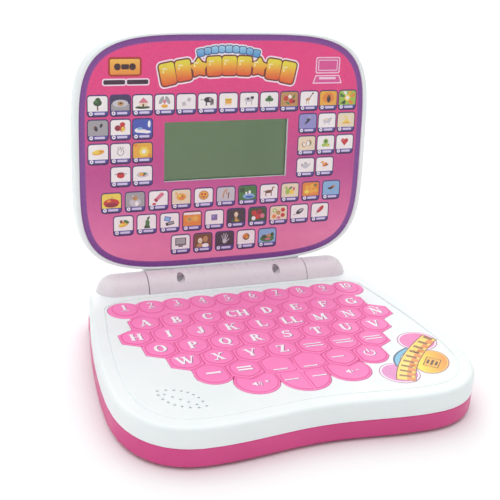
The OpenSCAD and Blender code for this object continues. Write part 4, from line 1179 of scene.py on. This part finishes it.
TILE_PITCH, LOWER_PITCH = 15.36, 16.68
# Each row of tiles: height over the display's middle, pitch, columns and pictures
TILE_ROWS = [
    (33.27, TILE_PITCH, range(-6, 7),
     "tree dusk house tent dice elephant cup cow clover flowers giraffe hive rays"),
    (16.98, TILE_PITCH, (-6, -5, -4, 4, 5, 6), "pods apples cloud dolphin lamb cheese"),
    (0.66, TILE_PITCH, (-6, -5, -4, 4, 5, 6), "bread clock sun onion limes heart"),
    (-15.53, TILE_PITCH, (-5, -4, 4, 5), "pot dish kettle canary"),
    (-33.78, LOWER_PITCH, range(-5, 6), "apple bear pencil noodles pizza flutes lake dog pears oranges parrot"),
    (-50.45, LOWER_PITCH, [i - 4.5 for i in range(10)],
     "banana statue laptop halves square bust roses balls mouse umbrella"),
    (-67.18, LOWER_PITCH, range(-2, 3), "screen family glove puzzle garden"),
]


def picture_shape(kind, x, y, numbers):
    """Outlines of one picture shape with its middle moved to (x, y)."""
    if kind == "t":
        return [[(x + numbers[i], y + numbers[i + 1]) for i in (0, 2, 4)]]
    a, b, size = x + numbers[0], y + numbers[1], numbers[2]
    turn = numbers[4] if len(numbers) > 4 else 0
    if kind == "o":
        return [circle(a, b, size, 18, numbers[3], turn)]
    if kind == "b":
        return [soft_rect(a, b, size, numbers[3], 0.15, turn)]
    if kind == "f":
        return [circle(a + size * 0.55 * math.cos(k), b + size * 0.55 * math.sin(k), size * 0.5, 12)
                for k in np.radians(range(0, 360, 60))]
    lobes = [circle(a + side * size * 0.45, b + size * 0.3, size * 0.52, 20) for side in (-1, 1)]
    return lobes + [[(a - size * 0.92, b + size * 0.1), (a, b - size), (a + size * 0.92, b + size * 0.1)]]


def tile(u, v, picture):
    """One picture tile: dark rounded frame, picture, caption band with a disc and a bar."""
    w, band_v = 13.3, v - 5.1
    x0, y0, x1, y1 = u - w / 2, v - 3.6, u + w / 2, v + 6.6
    ground, *shapes = picture.split("; ")
    window = rounded(rect(x0, y0, x1, y1), [False, False, True, True], 2.0)
    out = [(soft_rect(u, v, 14.8, 15.0, 2.9), fade(v - 7, v + 7, (42, 22, 78), (66, 46, 112))),
           (soft_rect(u, band_v, w, 3.0, 1.3), fade(v - 6.6, v - 3.6, (62, 46, 120), (86, 80, 168))),
           (window, INKS[ground])]
    for shape in shapes:
        kind, ink, *numbers = shape.split()
        for points in picture_shape(kind, u, (y0 + y1) / 2, [float(n) for n in numbers]):
            for axis, limit, side in ((0, x0, 1), (0, x1, -1), (1, y0, 1), (1, y1, -1)):
                points = clipped(points, axis, limit, side)
            if len(points) > 2:
                out.append((points, INKS[ink]))
    return out + [(circle(u - 4.6, band_v, 1.3, 16), (248, 246, 252)),
                  (circle(u - 4.6, band_v, 0.5, 10), (70, 54, 130)),
                  (soft_rect(u + 1.2, band_v, 7.0, 1.6, 0.5), (216, 210, 240))]


def star(x, y, r, turn):
    points, dots = 5, []
    for k in range(2 * points):
        a = math.radians(90 + turn + 180 * k / points)
        s = r if k % 2 == 0 else r * 0.62
        dots.append((x + s * math.cos(a), y + s * math.sin(a)))
    return rounded(dots, [k % 2 == 0 for k in range(2 * points)], 0.8, 4)


def title_shapes():
    """A bowed band of chunky blocks and stars, with a smaller blue row over it."""
    kinds = "block block star block block block star block block".split()
    half, width, blocks = 49.5, 99 / len(kinds), []
    for i, kind in enumerate(kinds):
        mid = -half + width * (i + 0.5)
        low, high = 52.3 - 0.0032 * mid * mid, 65.6 - 0.0022 * mid * mid
        tall, middle_v, lean = high - low, (low + high) / 2, -mid * 0.26
        shape = (soft_rect(mid, middle_v, width - 0.3, tall - 0.4, 2.2, lean) if kind == "block"
                 else star(mid, middle_v, tall / 2 + 0.2, lean))
        blocks.append((shape, mid, middle_v, tall))
    small = []
    for i in range(9):
        u = -21 + 5.1 * i
        small.append(soft_rect(u, 70.2 - 0.0068 * (u + 2) ** 2, 4.7, 4.6, 1.0 + 0.9 * (i % 2), -u * 0.5))
    grow = lambda shape, d: mitre_inset(ccw(shape), -d)
    out = [(grow(shape, 2.0), (252, 236, 246)) for shape, *_ in blocks]
    out += [(grow(shape, 1.5), (236, 244, 252)) for shape in small]
    out += [(grow(shape, 0.6), (34, 60, 120)) for shape in small]
    out += [(shape, fade(66, 72, (84, 160, 214), (168, 218, 240))) for shape in small]
    out += [(grow(shape, 1.0), (116, 44, 24)) for shape, *_ in blocks]
    for shape, mid, v, tall in blocks:
        out.append((shape, fade(v - tall * 0.42, v - tall * 0.02, (232, 92, 34), (246, 172, 46))))
        out.append((clipped(ccw(shape), 1, v, 1), fade(v, v + tall * 0.35, (246, 176, 48), (240, 228, 60))))
        for du, dv, w, h in ((-2.2, 3.4, 3.4, 0.9), (-3.2, 1.4, 0.9, 1.8)):
            out.append((soft_rect(mid + du, v + dv, w, h, 0.35), (252, 246, 190)))
    return out


def badge_shapes():
    """An amber badge with two discs and a block, over two dark bars."""
    ink, v = (52, 28, 20), 58.9
    out = outlined(soft_rect(-73.5, v, 21.2, 11.2, 1.8), (-0.9, (190, 52, 40)), (0, (150, 40, 30)),
                   (0.5, fade(53, 64, (240, 146, 44), (250, 196, 84))))
    out += [(circle(-78.6, v, 2.3, 20), ink), (soft_rect(-73.4, v, 5.2, 3.4, 0.5), ink),
            (circle(-68.4, v, 2.3, 20), ink)]
    for u in (-80.8, -64.9):
        out += outlined(soft_rect(u, 48.8, 14.6, 3.0, 0.9), (-0.9, (250, 232, 244)), (0, (48, 20, 44)))
    return out


def field_paint(bottom, top):
    """Pink that is deeper and more violet across the middle of the card."""
    middle_v = bottom + 0.42 * (top - bottom)
    lower = fade(bottom + 16, middle_v, (242, 132, 178), (198, 74, 148))
    upper = fade(middle_v, top - 30, (198, 74, 148), (240, 64, 134))
    return lambda x, y: upper(x, y) if y > middle_v else lower(x, y)


def laptop_icon():
    """A small open computer drawn in white outline."""
    white, pink = (252, 214, 236), (226, 84, 154)
    out = [(soft_rect(75, 58.4, 19 - 2 * d, 11.6 - 2 * d, 1.6 - 0.5 * d), paint)
           for d, paint in ((0, white), (0.8, pink), (1.9, white), (2.5, pink))]
    base = [(63.4, 45.4), (86.8, 45.4), (84.4, 51.4), (65.6, 51.4)]
    return out + outlined(base, (0, white), (0.8, pink)) + [(rect(68.6, 48.4, 81.6, 50.0), white)]


def shifted(paint):
    """A paint made for heights from the display's middle, used in the lid plan."""
    return (lambda x, y: paint(x, y - LCD_V)) if callable(paint) else paint


def picture_card():
    """The printed card: purple border, pink field, title band, badge, icon and the picture tiles."""
    outline = [tuple(p) for p in up_lid(bulged(CARD_HIGH.x, CARD_HIGH.y - MID_V, CARD_POWER, 200))]
    rim, field = ([tuple(p) for p in smooth_inset(np.array(outline), d)] for d in (3.4, 4.1))
    top, bottom = CARD_HIGH.y, CARD_LOW.y
    shapes = [(outline, fade(bottom, bottom + 30, (112, 48, 140), (128, 66, 152))),
              (rim, (150, 70, 156)), (field, field_paint(bottom, top))]
    local = title_shapes() + badge_shapes() + laptop_icon()
    for v, pitch, columns, names in TILE_ROWS:
        for column, name in zip(columns, names.split()):
            local += tile(column * pitch, v, PICTURES[name])
    shapes += [([(u, v + LCD_V) for u, v in points], shifted(paint)) for points, paint in local]
    hole = rect(-LCD_HALF_W, LCD_V - LCD_HALF_V, LCD_HALF_W, LCD_V + LCD_HALF_V)
    spots = [(x, y) for x in np.arange(-96, 97, 8.0) for y in np.arange(bottom + 8, top - 6, 8.0)
             if inside(field, x, y)]
    bm = bmesh.new()
    print_sheet(bm, shapes, CARD_H, CARD_LOW.z, hole, spots)
    finished("printed_card", bm, "lid", [CARD_PRINT], "card", "picture_card", weighted=False)


picture_card()

# ---------- display ----------


def soft_copy(name, node, body, material, slot, width):
    """A CAD node with its flats merged and its sharp edges rounded a little."""
    bm = bmesh.new()
    bm.from_mesh(NODES[node].data)
    bm.transform(PLACES[body].inverted())
    bmesh.ops.remove_doubles(bm, verts=bm.verts, dist=0.002)
    bmesh.ops.dissolve_limit(bm, angle_limit=math.radians(1), verts=bm.verts, edges=bm.edges)
    edges = [e for e in bm.edges if e.is_manifold and e.calc_face_angle() > math.radians(40)]
    bmesh.ops.bevel(bm, geom=edges, offset=width, segments=2, profile=0.6, affect="EDGES",
                    clamp_overlap=True)
    finished(name, bm, body, [material], slot, node)


for row in (("window_pane", "lcd_window", "lid", WINDOW, "clear_window", 0.25),
            ("display_panel", "lcd_panel", "lid", DISPLAY, "display", 0.2),
            ("display_board", "lcd_board", "lid", BOARD, "circuit_board", 0.15),
            ("lid_screw_set", "lid_screws", "lid", STEEL, "steel", 0.12)):
    soft_copy(*row)

# ---------- sticker ----------


def bent_strip(start, bend, end, start_w, end_w, grow=0.0, count=16):
    """A strip along a quadratic curve whose width changes evenly."""
    left, right = [], []
    for k in range(count + 1):
        t = k / count
        p = Vector(start) * (1 - t) ** 2 + Vector(bend) * 2 * t * (1 - t) + Vector(end) * t * t
        d = ((Vector(bend) - Vector(start)) * (1 - t) + (Vector(end) - Vector(bend)) * t).normalized()
        w = (start_w + (end_w - start_w) * t) / 2 + grow
        slip = d * (grow * (2 * t - 1) if k in (0, count) else 0)
        left.append(tuple(p + slip + Vector((-d.y, d.x)) * w))
        right.append(tuple(p + slip - Vector((-d.y, d.x)) * w))
    return left, right


def flower_sticker():
    """Glossy sticker: three petals, a banded strip across them and a blue crescent."""
    outline = loops_at("flower_sticker", DECK_H + 0.1)[0]
    shapes = [(outline, (250, 250, 252))]
    pink = fade(45, 105, (222, 136, 196), (246, 122, 186), 1, 0)
    for x, y, rx, ry, turn in ((91.9, -43.2, 14.0, 12.9, 14), (59.6, -78.3, 13.1, 12.4, -31)):
        shapes += [(circle(x, y, rx - d, 48, ry - d, turn), paint)
                   for d, paint in ((0.2, (168, 66, 122)), (0.75, (254, 236, 246)), (1.9, pink))]
    glow = fade(104, 126, (250, 238, 56), (246, 158, 58), 1, -0.4)
    shapes += [(circle(86.5, -70.4, 16.1 - d, 48, 11.6 - d, 49), paint)
               for d, paint in ((0.2, (176, 84, 92)), (0.8, (252, 214, 120)), (1.5, glow))]
    shapes += [(soft_rect(86.6, -71.6, w, h, 0.5, -42), paint)
               for w, h, paint in ((9.8, 12.2, (132, 84, 20)), (8.6, 11.0, (246, 186, 66)))]
    shapes += [(soft_rect(86.6 + a, -71.6 + b, w, 1.5, 0.4, 48), (92, 60, 22))
               for a, b, w in ((-2.0, 1.8, 5.6), (0.0, 0.0, 7.4), (2.0, -1.8, 5.6))]
    for start, bend, end, w, paint in (((64.0, -71.0), (64.5, -57.0), (81.5, -51.0), 5.2, (42, 84, 120)),
                                       ((64.4, -70.2), (65.3, -57.6), (80.6, -51.8), 3.6, (108, 190, 222))):
        crescent = bent_strip(start, bend, end, w, w - 1.2)
        shapes.append((crescent[0] + crescent[1][::-1], paint))
    ends = ((59.4, -87.1), (70.8, -63.2), (102.6, -40.6))
    for grow, paint in ((0.7, (120, 62, 34)), (0.1, (250, 222, 100))):
        left, right = bent_strip(*ends, 11.2, 9.2, grow)
        shapes.append((left + right[::-1], paint))
    steps = 27
    left, right = bent_strip(*ends, 11.2, 9.2, 0.0, steps)
    for k in range(steps):
        # Every third step of the strip has a brown stroke, and the others an orange lower half.
        start, end, paint = (0.12, 0.8, (150, 104, 40)) if k % 3 == 2 else (0.55, 1, (238, 150, 66))
        shapes.append(([tuple(Vector(left[i]).lerp(Vector(right[i]), t))
                        for i, t in ((k, start), (k + 1, start), (k + 1, end), (k, end))], paint))
    bm = bmesh.new()
    print_sheet(bm, shapes, DECK_H + 0.2, DECK_H)
    finished("flower_print", bm, "base", [STICKER_PRINT], "sticker", "flower_sticker", weighted=False)


flower_sticker()

# ---------- small and hidden parts ----------

for row in (("door_panel", "battery_door", "base", MAGENTA, "magenta_shell", 0.3),
            ("case_screw_set", "base_screws", "base", STEEL, "steel", 0.12),
            ("foot_pads", "rubber_feet", "base", RUBBER, "foot_rubber", 0.4),
            ("loudspeaker", "speaker", "base", BLACK, "speaker_black", 0.3),
            ("guide_plate", "key_guide", "base", INNER, "inner_plastic", 0.2)):
    soft_copy(*row)

LOOKS = {"white_shell": WHITE, "magenta_shell": MAGENTA, "key_pink": PINK, "steel": STEEL,
         "battery_sleeve": SLEEVE, "circuit_board": BOARD, "inner_plastic": INNER, "dome_rubber": DOME,
         "speaker_black": BLACK, "foot_rubber": RUBBER, "sticker": STICKER_PRINT, "card": CARD_PRINT,
         "clear_window": WINDOW, "display": DISPLAY}
for node in NODES.values():
    for i, old in enumerate(node.data.materials):
        node.data.materials[i] = LOOKS[old.name.split(".")[0]]


# ---------- stage, light and camera ----------


def stage():
    floor = bpy.data.meshes.new("floor")
    floor.from_pydata([(-6, -6, 0), (6, -6, 0), (6, 6, 0), (-6, 6, 0)], [], [(0, 1, 2, 3)])
    plane = linked(bpy.data.objects.new("floor", floor))
    s = Shader("paper_floor", 0.9)
    floor.materials.append(s.finish(s.blend(s.noise(6), (252, 252, 252), (249, 249, 250))))


def light(name, at, size, watts, target=(0, 0, 0.08)):
    data = bpy.data.lights.new(name, "AREA")
    data.shape, data.size, data.energy = "DISK", size, watts
    lamp = linked(bpy.data.objects.new(name, data))
    lamp.location = at
    lamp.rotation_mode = "QUATERNION"
    lamp.rotation_quaternion = (Vector(target) - Vector(at)).to_track_quat("-Z", "Y")


def camera():
    """A short telephoto view from the front left and above, a little rolled."""
    turn, rise, roll = (math.radians(angle) for angle in (-22.3, 22.23, 4.07))
    data = bpy.data.cameras.new("camera")
    data.lens, data.sensor_width = 69.8, 36
    data.clip_start, data.clip_end = 0.01, 20
    back = Vector((math.sin(turn) * math.cos(rise), -math.cos(turn) * math.cos(rise), math.sin(rise)))
    level = Vector((math.cos(turn), math.sin(turn), 0))
    up = back.cross(level)
    right = level * math.cos(roll) + up * math.sin(roll)
    eye = linked(bpy.data.objects.new("camera", data))
    place = (-0.2310, -0.5296, 0.3177)
    eye.matrix_world = Matrix.Translation(place) @ Matrix(
        (right, back.cross(right), back)).transposed().to_4x4()
    bpy.context.scene.camera = eye


def world():
    made = bpy.data.worlds.new("studio")
    made.use_nodes = True
    background = made.node_tree.nodes["Background"]
    background.inputs["Color"].default_value = (1.0, 1.0, 1.0, 1)
    background.inputs["Strength"].default_value = 0.5
    bpy.context.scene.world = made


stage()
world()
# Lamps: place, width in metres and power in watts
light("overhead", (0, 0.45, 2.2), 5.0, 63)
light("far_floor", (1.2, 4.0, 2.5), 3.0, 60, target=(1.2, 4.0, 0))
light("left_fill", (-1.2, -0.7, 0.9), 0.8, 2)
camera()
view = bpy.context.scene.view_settings
view.view_transform, view.look = "Standard", "None"
